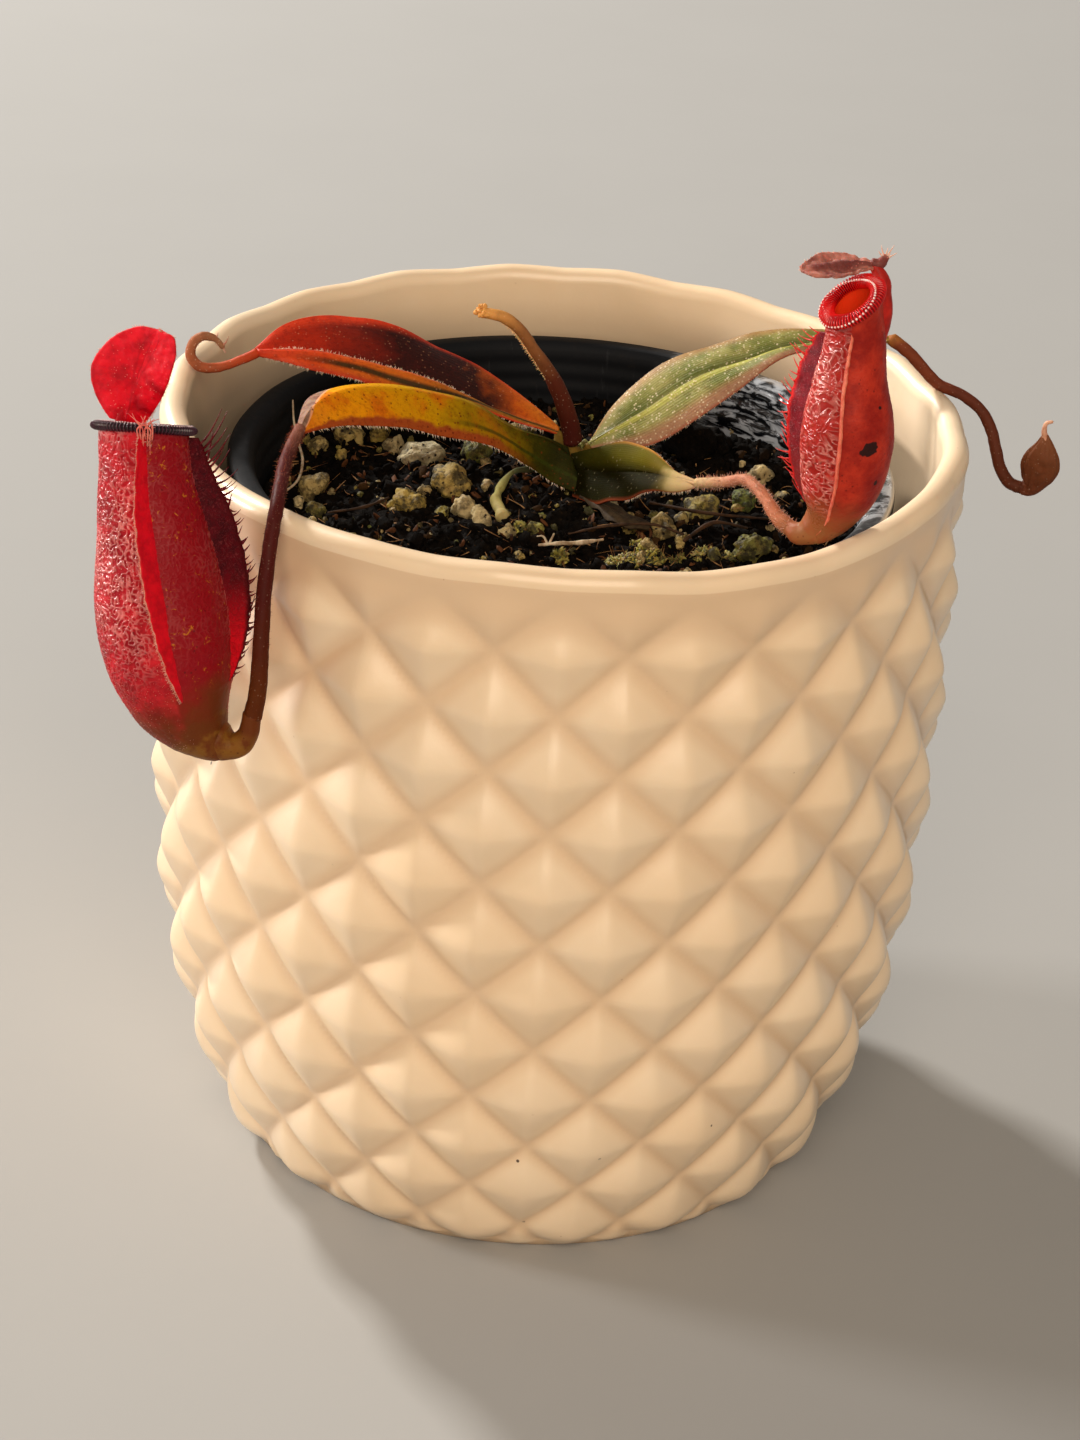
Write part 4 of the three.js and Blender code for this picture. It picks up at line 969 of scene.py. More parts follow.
class Blade:
    """A leaf blade between its two edges, bent along its midrib."""

    GROOVE = 0.3  # depth along the midrib, in millimetres
    CREST = -0.04  # place across the blade where a folded one stands highest

    def __init__(self, near, midrib, far, fold=0.0):
        self.lines = [Line(near), Line(midrib), Line(far)]
        self.fold = fold

    def surface(self, s, t):
        """Points at shares s from crown to tip, and t from -1 at the near edge to 1 at the far one."""
        a, m, b = (line.at(s) for line in self.lines)
        lift = unit(np.cross(self.lines[1].tangent(s), b - a))
        lift = np.where(lift[..., 2:] < 0, -lift, lift)
        side = np.where(t < 0, 0.0, 2.0)
        reach = np.abs(t)
        middle = np.sin(np.pi * np.clip(s, 0.0, 1.0))
        rise = 0.5 * np.sin(np.pi * reach) * middle + 0.35 * reach**2 * np.sin(s * 21 + side) * middle
        rise = rise - self.GROOVE * np.exp(-(reach / 0.07) ** 2) * np.maximum(middle, 0.05) ** 0.4
        standing = np.exp(-((t - self.CREST) / np.where(t < self.CREST, 0.42, 0.06)) ** 2)
        rise = rise + self.fold * standing * between(s, 0.2, 0.5) * (1 - 0.7 * between(s, 0.8, 1.0))
        edge = np.where((t < 0)[..., None], a, b)
        return m + (edge - m) * reach[..., None] + lift * rise[..., None]

    def shape(self):
        """The blade as a sheet, thick along its midrib where it has no fold."""
        across = np.sin(np.linspace(-1, 1, 41) * np.pi / 2)
        s, t = np.meshgrid(np.linspace(0, 1, 131), across, indexing="ij")
        grid = self.surface(s, t)
        grid = grid + 0.10 * noise(grid, 3.5, 4)[..., None] * np.array([0, 0, 1.0])
        thick = 0.75 - 0.4 * np.abs(t) ** 6 + 0.75 * np.exp(-(t / 0.13) ** 2) * (self.fold == 0)
        return thick_sheet(grid, thick, along=s, across=t)

    def crest_hairs(self, count, length, radius, seed):
        """Short hairs along the fold."""
        rng = np.random.default_rng(seed)
        s = 0.3 + 0.65 * rng.random(count)
        roots = self.surface(s, np.full(count, self.CREST)) + (0, 0, 0.3)
        out = (0, -0.1, 1) + 0.5 * rng.normal(size=(count, 3))
        return short_hairs(rng, roots, out, 0.4 * length, 1.2 * length, radius)

    def fringe(self, seed, side, count, length, radius, start=0.05, stop=0.98):
        """Short hairs along one edge."""
        rng = np.random.default_rng(seed)
        s = np.sort(start + (stop - start) * rng.random(count))
        edge = np.full(count, float(side))
        roots = self.surface(s, edge)
        out = unit(roots - self.surface(s, edge * 0.8)) + rng.normal(size=(count, 3)) * (0.2, 0.2, 0.3)
        return short_hairs(rng, roots - 0.1 * out, out, 0.4 * length, 1.2 * length, radius)


BLADES = {  # the near edge, the midrib and the far edge, from crown to tip
    "leaf_back_left": Blade(
        [[-0.9, 12.1, 129.2], [-8.5, 11.3, 131.3], [-15, 9.3, 134.2], [-25.5, 6, 136.5], [-37, 3.5, 140.5],
         [-45.5, 3, 142.5], [-54.5, 5.5, 143]],
        [[-0.9, 12.5, 129.6], [-11.5, 12.5, 132.5], [-21, 11.5, 136], [-36.5, 9, 140.5], [-48.5, 7, 143],
         [-54.5, 6, 143.5]],
        [[-0.9, 13, 130.3], [-9, 18, 134.5], [-19.5, 21, 139], [-31.5, 20, 144.5], [-43, 17, 147],
         [-50.5, 12, 146.5], [-55, 6.5, 144]], fold=1.9),
    "leaf_front_left": Blade(
        [[4.5, 5.6, 120.6], [-1, 6.5, 122], [-5.5, 4.8, 125.8], [-9.5, 0.8, 129.8], [-22.5, -8, 136.5],
         [-29, -13, 139], [-36.5, -20, 142], [-43.5, -27.5, 143]],
        [[1.4, 9.5, 126.0], [-2.5, 9.2, 129], [-8.5, 6, 132], [-18, 0, 139], [-30, -7, 143.5],
         [-37.5, -14, 145.5], [-42.5, -21, 145], [-44, -27, 143.5]],
        [[1.0, 10.2, 127.6], [-2.5, 10.6, 128.8], [-8.5, 8.6, 131], [-18.5, 4.6, 137.6], [-30, 0, 141],
         [-38, -7, 143.5], [-43.5, -16, 144.5], [-44.5, -26.5, 143.5]]),
    "leaf_back_right": Blade(
        [[4.8, 12, 127], [14.5, 9, 129.5], [25, 10, 136], [33, 13, 142.5], [40, 16, 146], [57.5, 20, 148]],
        [[4.6, 12.5, 127.5], [14, 14, 134], [23.5, 16, 140.5], [31.5, 17, 143.5], [39.5, 18, 146.5],
         [57.5, 20, 148.5]],
        [[4.8, 13, 128], [9, 17, 134.2], [18.5, 21, 141.5], [28, 22, 145.2], [38, 22, 148.4], [48, 21, 149],
         [57.5, 20, 149]]),
    "leaf_front_right": Blade(
        [[2.4, 6.2, 119.9], [6, -0.6, 122], [11, -8.6, 126.6], [16.5, -14, 131], [20.5, -18, 133],
         [23.5, -20, 135]],
        [[2.6, 9.2, 124.2], [8.5, 2, 127], [15.5, -8, 131.5], [19.5, -15, 134], [23.5, -20, 135.5]],
        [[1.6, 10.0, 126.6], [6, 8, 129], [11.5, 3, 132.5], [16, -5, 134.5], [19.5, -13, 134.5],
         [23.5, -20, 136]]),
    "leaf_old": Blade(
        [[3.5, 3.5, 121.1], [7, -2.5, 121.4], [10.5, -7, 121], [16, -6.5, 120.3]],
        [[4, 4.5, 121.2], [7.5, -1, 121.9], [11, -4.5, 121.4], [16, -5.5, 120.5]],
        [[4.5, 6, 120.8], [8.5, 3, 120.9], [12, -1.5, 120.8], [16.5, -4, 120.3]]),
}
FRINGES = [  # leaf, edge, count, length, radius, and where the hairs start and stop if not all along
    ("leaf_back_left", -1, 260, 0.8, 0.07), ("leaf_back_left", 1, 120, 0.4, 0.05),
    ("leaf_front_left", -1, 220, 0.7, 0.07), ("leaf_front_left", 1, 90, 0.35, 0.05),
    ("leaf_back_right", -1, 150, 0.5, 0.06), ("leaf_back_right", 1, 150, 0.4, 0.06),
    ("leaf_front_right", -1, 120, 0.6, 0.06, 0.5, 1), ("leaf_front_right", 1, 80, 0.4, 0.06, 0.6, 1),
]


def leaves():
    """The blades and the hairs on their margins."""
    paints = {"leaf_red": paint_back_left(), "leaf_orange": paint_front_left(),
              "leaf_sage": paint_back_right(), "leaf_olive": paint_front_right(),
              "leaf_dead": plain("leaf_dead")}
    for (name, blade), (slot, paint) in zip(BLADES.items(), paints.items()):
        piece(name.replace("leaf", "blade"), blade.shape(), paint, [name])
    down = [BLADES["leaf_back_left"].crest_hairs(260, 0.55, 0.06, 30)]
    for seed, (name, *place) in enumerate(FRINGES, 31):
        down.append(BLADES[name].fringe(seed, *place))
    piece("leaf_margin_hairs", joined(down), plain("pale_hair"))


# ---- stem, tendrils ----

SPEAR = [[1.6, 12.5, 127.9], [1, 12.5, 131], [-0.5, 12, 135.5], [-3, 11, 141], [-6.3, 10, 146],
         [-9, 9.2, 149.9], [-11.8, 8.4, 152.2], [-15.5, 8, 153]]
STUB = [[-3.5, 14, 121.5], [-8.5, 8.5, 123], [-10.5, 4, 122], [-11, -0.5, 121], [-9.5, -6, 120.3]]
SHEATHS = [  # foot beside the stem, tip on a leaf, radius before the tip
    ((-1, 0, 119), (-0.9, 12.4, 129.4), 1.5), ((-1, -1, 118), (-0.4, 10.7, 125.8), 1.6),
    ((1, 0, 118.5), (4.7, 12.5, 127.4), 1.6), ((1, -1, 117), (3.5, 10.2, 124), 1.7),
]


def stems():
    """The stem with the leaves' sheaths, the young rolled leaf and the stub of an old one."""
    stem = np.array([STEM["x"], STEM["y"], 0])
    thick = STEM["radius"]
    upright = [stem + (0, 0, z) for z in (98, 112, 126.2)]
    parts = [tube(upright, [thick, thick, thick, 1.9], 40, 24, 0.25, 2.0, 1)]
    for foot, tip, wide in SHEATHS:
        foot = stem + foot
        middle = foot * 0.35 + np.array(tip) * 0.65 - (0, 0, 0.8)
        parts.append(tube([foot, middle, tip], [1.9, 1.9, wide, 0.8], 30, 20, 0.12, 1.5, 2))
    bark = skin("stem", 0.6, 0, (0.0, 0.03, 0.02, 0.008), (0.5, 0.035, 0.03, 0.006),
                (1.0, 0.14, 0.08, 0.012))
    piece("crown", joined(parts), bark, ["crown_stem"])

    rolled = tube(SPEAR, [1.75, 1.65, 1.45, 1.2, 1.0, 1.05, 0.95], 160, 32, 0.07, 1.3, 5)
    rng = np.random.default_rng(51)
    tip = lumps(np.array([-15.6, 8, 153.1]) + 0.45 * rng.normal(size=(22, 3)), 0.45, 52, 0.4, 2, along=1.0)
    brown = skin("leaf_brown", 0.5, 0.15, (0.0, 0.045, 0.006, 0.004), (0.45, 0.09, 0.018, 0.009),
                 (0.72, 0.30, 0.12, 0.04), (1.0, 0.72, 0.34, 0.09))
    piece("young_leaf", joined([rolled, tip]), brown, ["leaf_centre"])
    seam = Line(SPEAR).at(np.linspace(0.42, 0.97, 190)) + (-0.9, -0.5, -0.35)
    fuzz = short_hairs(rng, seam, (-1, -0.3, -0.4) + 0.5 * rng.normal(size=seam.shape), 0.25, 0.7, 0.07)
    piece("young_leaf_hairs", fuzz, plain("spear_hair"))

    pale = skin("stub_pale", 0.6, 0, (0.0, 0.03, 0.025, 0.012), (0.3, 0.10, 0.11, 0.05),
                (0.6, 0.30, 0.27, 0.08), (1.0, 0.42, 0.33, 0.13))
    stub = tube(STUB, [0.4, 0.5, 0.6, 0.8, 1.05, 1.2], 120, 32, 0.28, 1.9, 6)
    piece("old_stub", stub, pale, ["leaf_stub"])


TENDRILS = {  # slot, points, radii, how downy the skin is, colours from the leaf on
    "tendril_back_left": (
        "leaf_red",
        [[-54.5, 6, 143.4], [-58, 5.5, 141.7], [-61.5, 5, 140.5], [-64.5, 4.5, 140.8], [-66, 4.5, 142.6],
         [-65.5, 5, 145], [-64, 5.5, 146], [-62, 6, 145.5], [-60.5, 6, 144]],
        [0.85, 0.8, 0.95, 0.85, 0.45], 0.3, (0.0, 0.5, 0.05, 0.012), (0.5, 0.40, 0.10, 0.04),
        (1.0, 0.34, 0.16, 0.08)),
    "tendril_front_left": (
        "tendril_purple",
        [[-44, -26.5, 143.5], [-45, -39, 143.4], [-45, -49, 142.9], [-45, -55, 141.7], [-45.5, -59.5, 136.5],
         [-46, -62.5, 129], [-46, -65, 121.5], [-46.2, -66.2, 114.5], [-46.9, -66.6, 109.9]],
        [1.0, 1.12, 1.18, 1.3, 1.5], 0.08, (0.0, 0.22, 0.08, 0.05), (0.22, 0.075, 0.012, 0.011),
        (0.7, 0.065, 0.007, 0.005), (1.0, 0.10, 0.022, 0.004)),
    "tendril_back_right": (
        "tendril_brown",
        [[57, 20, 148.6], [60, 19.5, 146.7], [62.5, 19, 144.5], [66, 18.5, 141.3], [70.5, 17, 140],
         [74, 15, 138], [75.8, 13.5, 135.3], [77, 12, 132], [78, 11, 129], [80, 10.5, 126.5],
         [82.3, 10.1, 125.9]],
        [1.15, 1.05, 1.0, 1.05, 1.1], 0.08, (0.0, 0.5, 0.2, 0.04), (0.1, 0.22, 0.05, 0.02),
        (0.4, 0.12, 0.028, 0.014), (1.0, 0.085, 0.022, 0.010)),
    "tendril_front_right": (
        "tendril_pink",
        [[23.2, -19.7, 135.6], [27.5, -25, 138.5], [30.5, -28, 140.5], [32.5, -31, 140.5],
         [34.4, -34.8, 139.6], [36, -38, 138.5], [38.2, -40.7, 137.8]],
        [0.9, 0.9, 1, 1.35], 0.3, (0.0, 0.50, 0.36, 0.17), (0.35, 0.48, 0.20, 0.12),
        (0.8, 0.42, 0.14, 0.07), (1.0, 0.26, 0.10, 0.04)),
}
WOOLLY = {"tendril_back_left": (120, 1), "tendril_front_right": (800, 1.8)}  # count and length of the hairs


def tendrils():
    """The tendrils, the down on them and the small hooks at the back left curl."""
    rng = np.random.default_rng(41)
    down = []
    for name, (slot, points, radii, downy, *colours) in TENDRILS.items():
        body = tube(points, radii, 200, 24, 0.07, 1.0, 7)
        piece(name.replace("tendril", "stalk"), body, skin(slot, 0.5, downy, *colours), [name])
        if name in WOOLLY:
            count, length = WOOLLY[name]
            pick = rng.integers(0, len(body.points) - 2, count)
            roots = body.points[pick]
            out = unit(roots - Line(points).at(body.marks["along"][pick]))
            ways = out + 0.3 * rng.normal(size=(count, 3))
            down.append(short_hairs(rng, roots - 0.05 * out, ways, 0.12 * length, 0.42 * length, 0.05))
    down.append(hairs([[-60.7, 6, 144.2], [-60.6, 6, 144.1], [-61.8, 6, 145.4]],
                      [[1, -0.2, 0.9], [0.5, -0.3, -0.8], [0.6, 0, 1]], [2.2, 1.9, 1.1], 0.26,
                      (-0.2, 0, 0.3), 8, 5))
    count = 1100
    dark = Line(TENDRILS["tendril_front_left"][1])
    share = rng.random(count)
    around = unit(rng.normal(size=(count, 3)))
    around = unit(around - dark.tangent(share) * np.sum(around * dark.tangent(share), -1, keepdims=True))
    bristles = short_hairs(rng, dark.at(share) + 0.95 * around, around, 0.35, 0.7, 0.04)
    piece("stalk_dark_hairs", bristles, plain("dark_down"))
    piece("stalk_hairs", joined(down), plain("stalk_hair"))


# ---- pitchers ----

class Pitcher:
    """A pitcher's skin as a function of its length and the angle round it from its front."""

    WALL = 0.9  # thickness of the skin at the cup, in millimetres
    CUP_FLOOR = 0.24  # share of the length where the cup's floor lies
    KNEE_SHARE = 0.12  # share of the colours from foot to mouth that the knee below the foot goes through

    def __init__(self, axis, radii, front, mouth, face):
        self.face = face
        self.axis = Line(axis)
        self.radius = width_along(radii)
        self.front = unit(np.array(front, float))
        self.mouth = unit(np.array(mouth, float))

    def frame(self, t):
        """Directions along the pitcher, to its front and to its side, turning to the mouth's tilt."""
        neck = smooth((t - 0.7) / 0.3)[..., None]
        n = unit(self.axis.tangent(t) * (1 - neck) + self.mouth * neck)
        f = unit(self.front - n * (n @ self.front)[..., None])
        return n, f, np.cross(n, f)

    def point(self, t, angle, grow=0.0, rise=0.0):
        """A point of the skin, moved outwards by grow and along the pitcher by rise."""
        t, angle, grow, rise = np.broadcast_arrays(t, angle, grow, rise)
        n, f, side = self.frame(t)
        r = self.radius.point(t)[..., 0] + grow
        out = f * np.cos(angle)[..., None] + side * np.sin(angle)[..., None]
        return self.axis.at(t) + out * r[..., None] + n * rise[..., None]

    def body(self, fine, knee, crinkle, blots=()):
        """The skin, the cup inside and the knee below it. crinkle gives each point's height and crest."""
        angle = turns(fine)
        t, a = np.meshgrid(np.linspace(0, 1, fine + 1), angle, indexing="ij")
        flat = self.point(t, a)
        height, crest = crinkle(flat, t, a)
        outer = self.point(t, a, height * between(1 - t, 0, 0.04))
        lip = [self.point(1.0, angle, g, h) for g, h in ((0.3, 0.5), (0, 0.9), (-0.6, 0.8), (-0.9, 0.2))]
        ti, ai = np.meshgrid(np.linspace(0.99, self.CUP_FLOOR, fine // 3), angle, indexing="ij")
        rings = np.concatenate([outer, lip, self.point(ti, ai, -self.WALL)])
        blot = np.zeros(t.shape)
        for t0, a0, size in blots:
            ragged = 0.9 * noise(flat, 1.1, 41) + 0.3 * noise(flat, 0.4, 42)
            away = np.hypot((t - t0) * 7, a - a0) / size + ragged
            blot = blot + between(-away, -1.15, -0.9)
        clear = np.zeros((len(rings) - len(t), fine))
        first = self.axis.at(0.0) - self.axis.tangent(0.0) * 0.3
        body = loft(rings, first, self.axis.at(self.CUP_FLOOR),
                    along=np.concatenate([t[:, 0], np.ones(4), ti[:, 0]]),
                    within=np.concatenate([np.zeros(len(t) + 2), np.ones(2 + len(ti))]),
                    face=np.tile(band(angle, *self.face), (len(rings), 1)),
                    crest=np.vstack([crest, clear]), blot=np.vstack([np.minimum(blot, 1), clear]))
        knee.marks["along"] = knee.marks["along"] * self.KNEE_SHARE
        return joined([body, knee])

    def wing_points(self, s, across, angle, start, width, lean, ragged, stop=0.99, turn=0.0):
        """Points on a wing: s runs up it and across runs from its root to its free edge."""
        t = start + (stop - start) * s
        angle = angle + turn * (1 - s)
        root = self.point(t, angle, -0.4)
        away = unit(self.point(t, angle + lean, 8) - self.point(t, angle))
        waves = ragged * (0.22 * np.sin(s * 61) + 0.16 * np.sin(s * 143 + 1)) * between(s, 0, 0.1)
        reach = width * np.sin(np.pi * (0.008 + 0.892 * s)) ** 0.7 + 0.15 + waves * across
        return root + away * (reach * across)[..., None]

    def wing(self, place):
        """A wing as a sheet that thins towards its free edge. place holds the settings of wing_points."""
        s, w = np.meshgrid(np.linspace(0, 1, 220), np.linspace(0, 1, 14), indexing="ij")
        grid = self.wing_points(s, w, **place)
        grid = grid + 0.18 * noise(grid, 2.2, 9)[..., None] * w[..., None] * self.front
        return thick_sheet(grid, 0.62 - 0.35 * w, along=s, across=w)

    def wing_hairs(self, place, count, length, radius, seed, curl, spread=0.24, lift=0.0):
        """Hairs along a wing's free edge. length(s) gives how long they are up the wing."""
        rng = np.random.default_rng(seed)
        s = np.clip((np.arange(count) + rng.uniform(0.1, 0.9, count)) / count, 0, 1)
        roots = self.wing_points(s, np.ones(count), **place)
        out = unit(roots - self.wing_points(s, np.full(count, 0.8), **place))
        out = out + spread * rng.normal(size=(count, 3)) + (0, 0, lift) * between(s, 0.75, 1.0)[:, None]
        length = length(s) * rng.uniform(0.6, 1.1, count)
        return hairs(roots - 0.15 * out, out, length, radius, curl, steps=5)

    def down(self, count, length, radius, seed, around, upwards):
        """Short hairs over the skin between two angles and two shares of its length."""
        rng = np.random.default_rng(seed)
        t = upwards[0] + (upwards[1] - upwards[0]) * rng.random(count)
        a = around[0] + (around[1] - around[0]) * rng.random(count)
        out = unit(self.point(t, a, 2) - self.point(t, a)) + 0.35 * rng.normal(size=(count, 3))
        return short_hairs(rng, self.point(t, a, -0.05), out, 0.3 * length, 1.2 * length, radius)

    def rim(self, across, high, grow, rise, ribs, rib, columns):
        """The ribbed roll round the mouth."""
        sides = 20
        angle, turn = turns(columns)[:, None], turns(sides)
        comb = np.cos(angle * ribs)
        outwards = grow + across * np.cos(turn) * (1 + rib * comb)
        upwards = rise + high * np.sin(turn) * (1 + rib * comb)
        k = np.arange(sides)
        last = (columns - 1) * sides
        wrap = np.stack([last + k, last + (k + 1) % sides, (k + 1) % sides, k], -1)
        quads = np.vstack([grid_faces(columns, sides, True), wrap])
        return Shape(self.point(1.0, angle, outwards, upwards), quads, comb=np.repeat(comb, sides),
                     top=np.tile(np.sin(turn), columns)).facing_out()

    def beads(self, count, size, across, high, grow, rise, outer, inner):
        """Small teeth on the rim's roll, at its outer angle in front and its inner one at the back."""
        angle = turns(count)
        turn = np.radians(outer + (inner - outer) * (1 - np.cos(angle)) / 2)
        centres = self.point(1.0, angle, grow + across * np.cos(turn), rise + high * np.sin(turn))
        return lumps(centres, size, 61, 0.1, 1)


def lid_shape(left, middle, right, spur, crease, crumple):
    """A domed lid from its two edges and the line down its middle, creased there, with its spur."""
    lines = [Line(left), Line(middle), Line(right)]
    s, t = np.meshgrid(np.linspace(0, 1, 111), np.linspace(-1, 1, 49), indexing="ij")
    a, m, b = (line.at(s) for line in lines)
    up = unit(np.cross(b - a, lines[1].tangent(s)))
    reach = np.abs(t)
    edge = np.where((t < 0)[..., None], a, b)
    rise = (0.5 * (1 - reach**2) - crease * np.exp(-(t / 0.3) ** 2)) * np.sin(np.pi * s)
    grid = m + (edge - m) * reach[..., None] + up * rise[..., None]
    grid = grid + up * (crumple * noise(grid, 1.8, 6) + crumple * noise(grid, 0.8, 7))[..., None]
    thick = 0.6 - 0.25 * reach**4 + 0.5 * np.exp(-(t / 0.12) ** 2) * (1 - s)
    sheet = thick_sheet(grid, thick, along=s, across=t)
    return joined([sheet, tube(spur, [0.8, 0.9, 0.6], 24, 16, 0.1, 1, 3)]), grid


def edge_hairs(grid, count, length, radius, seed):
    """Hairs round a lid's edge, in its plane."""
    rng = np.random.default_rng(seed)
    edge = np.concatenate([grid[:, 0], grid[-1, 1:], grid[::-1, -1]])
    inner = np.concatenate([grid[:, 2], grid[-4, 1:], grid[::-1, -3]])
    pick = rng.integers(3, len(edge) - 3, count)
    out = unit(edge[pick] - inner[pick]) + 0.4 * rng.normal(size=(count, 3))
    return short_hairs(rng, edge[pick], out, 0.4 * length, 1.2 * length, radius)


def wisps(pitcher):
    """Threads that hang over the left pitcher's rim beside its first wing."""
    strands = []
    for k in range(7):
        foot, tip = -0.7 + 0.045 * k, -0.30 - 0.09 * ((k * 3) % 8)
        places = [(0.93 + 0.007 * ((k * 5) % 8), foot, 0.1, 0), (0.98, foot, 0.7, 0), (1.0, foot, 1.5, 0.4),
                  (1.0, (foot + tip) / 2, 1.25, 1.4), (1.0, tip, 0.7, 2.1 + 0.3 * (k % 3))]
        points = [pitcher.point(*place) for place in places]
        strands.append(tube(points, [0.07, 0.14, 0.12, 0.05], 40, 8, 0.04, 0.6, 19 + k))
    return joined(strands)


def left_pitcher():
    pitcher = Pitcher(
        [[-50.6, -66.3, 104.2], [-52.6, -65.9, 104.4], [-55.3, -64.9, 106.4], [-57.9, -63.6, 109.8],
         [-60.1, -61.7, 114.6], [-61.8, -59.6, 120.4], [-63, -57.6, 127], [-64.2, -55.7, 135],
         [-65.6, -54, 143], [-66.6, -52.6, 152.5]],
        [1.8, 5.6, 8.6, 10.2, 10.8, 10.8, 10.2, 9.2, 8.3, 7.5, 7.2], [0.62, -0.79, 0], [0, 0.39, 0.92],
        ((-0.58, -0.5), (0.68, 0.76)))
    wing_a = {"angle": -0.56, "start": 0.2, "width": 3.8, "lean": -0.4, "turn": 0.14, "ragged": 0.4}
    wing_b = {"angle": 0.72, "start": 0.2, "width": 5, "lean": 0.35, "ragged": 0.35}
    knee = tube([[-47.0, -66.6, 110.4], [-47.6, -66.6, 106.7], [-49.4, -66.4, 104.5], [-52, -65.8, 104.6],
                 [-54.5, -65, 107.0]], [1.5, 1.7, 2.1, 3.1, 3.0], 90, 64, 0.08, 1.2, 17)

    def crinkle(points, t, angle):
        outside = 1 - between(np.cos(angle), 0.6, 0.9)
        worm = folds(bent(points, 0.5, 1.6, (31, 32, 33)), 0.55, 2)
        amount = (0.08 + 0.10 * outside) * between(t, 0.1, 0.4)
        small = 0.05 * noise(points, 0.8, 7) * (1 - between(t, 0.3, 0.6))
        shown = worm * (0.14 + 0.86 * outside) * between(t, 0.15, 0.6)
        return amount * (worm - 0.5) + 0.10 * noise(points, 5, 5) + small, shown

    slot = "pitcher_crimson"
    # Its fourth colour is the painted highlight on the crinkles' crests.
    paint = pitcher_paint(slot, (0.58, 0.016, 0.026), (0.24, 0.003, 0.008), (0.26, 0.002, 0.006),
                          (1.0, 0.34, 0.30), (0.13, 0.030, 0.005), (0.27, 0.12, 0.014), 0.9)
    piece("pitcher_left_body", pitcher.body(640, knee, crinkle), paint, ["pitcher_left"])
    piece("pitcher_left_wing_a", pitcher.wing(wing_a), plain("wing_bright"))
    # Painted shade: the second wing is painted near black, as the side of the pitcher that lies in shade.
    dusky = wing_paint("wing_shaded", (0.10, 0.001, 0.005), (0.04, 0.0006, 0.003), (0.07, 0.001, 0.003),
                       (0.58, 0.002, 0.010))
    piece("pitcher_left_wing_b", pitcher.wing(wing_b), dusky)

    row = np.arange(34)
    tuft = pitcher.point(np.linspace(0.96, 1.0, 34), -0.5 + 0.05 * np.sin(row), np.linspace(0.6, 1.5, 34),
                         np.linspace(0, 2.2, 34))
    ways = (0.1, -0.8, 0.3) + 0.7 * np.random.default_rng(77).normal(size=(34, 3))
    down = [pitcher.wing_hairs(wing_a, 420, lambda s: 0.9 - 0.45 * s, 0.075, 71, (0, 0, -0.2)),
            pitcher.down(3600, 0.24, 0.04, 72, (1.0, 5.7), (0.08, 0.85)),
            hairs(tuft, ways, 0.8, 0.07, steps=2, sides=3)]
    pale = plain("pitcher_down")
    piece("pitcher_left_down", joined(down), pale)
    piece("pitcher_left_wisps", wisps(pitcher), plain("wisp"))
    teeth = pitcher.wing_hairs(wing_b, 46, lambda s: 1.6 + 3.6 * between(s, 0.6, 1.0), 0.24, 73,
                               (0.0, 0.1, 0.5), spread=0.34, lift=1.1)
    piece("pitcher_left_hairs", teeth, plain("wing_hair"))
    # Its last number is the share of the painted highlight on top of the roll.
    purple = rim_paint("rim_purple", (0.045, 0.010, 0.020), (0.006, 0.001, 0.003), 0.25, 0.15)
    piece("pitcher_left_rim", pitcher.rim(1.1, 0.72, 0.1, 0.5, 84, 0.15, 1008), purple)
    beads = pitcher.beads(96, 0.16, 1.1, 0.72, 0.1, 0.5, 60, 110)
    piece("pitcher_left_teeth", beads, plain("rim_tooth"))
    lid, grid = lid_shape(
        [[-73.0, -46, 151.5], [-75.4, -45, 155.2], [-76, -45, 160], [-72.5, -46, 165.5], [-68, -47, 168],
         [-65, -48, 168]],
        [[-70.2, -46.2, 151.2], [-68.6, -46.2, 157.5], [-66.5, -47, 164], [-65, -48, 168]],
        [[-67.0, -46.8, 151.5], [-64.6, -48.2, 156.0], [-63, -50, 160.5], [-62, -50, 165],
         [-62.5, -49.5, 167.5], [-64.5, -48.5, 168]],
        [[-71.4, -46.2, 149.6], [-71.2, -45.8, 151.5], [-70.6, -45.8, 154]], 0.0, 0.12)
    red = lid_paint("lid_red", (0.84, 0.003, 0.018), (0.42, 0.001, 0.009), 0)
    piece("pitcher_left_lid", lid, red)
    piece("pitcher_left_lid_hairs", edge_hairs(grid, 240, 0.45, 0.05, 74), pale)


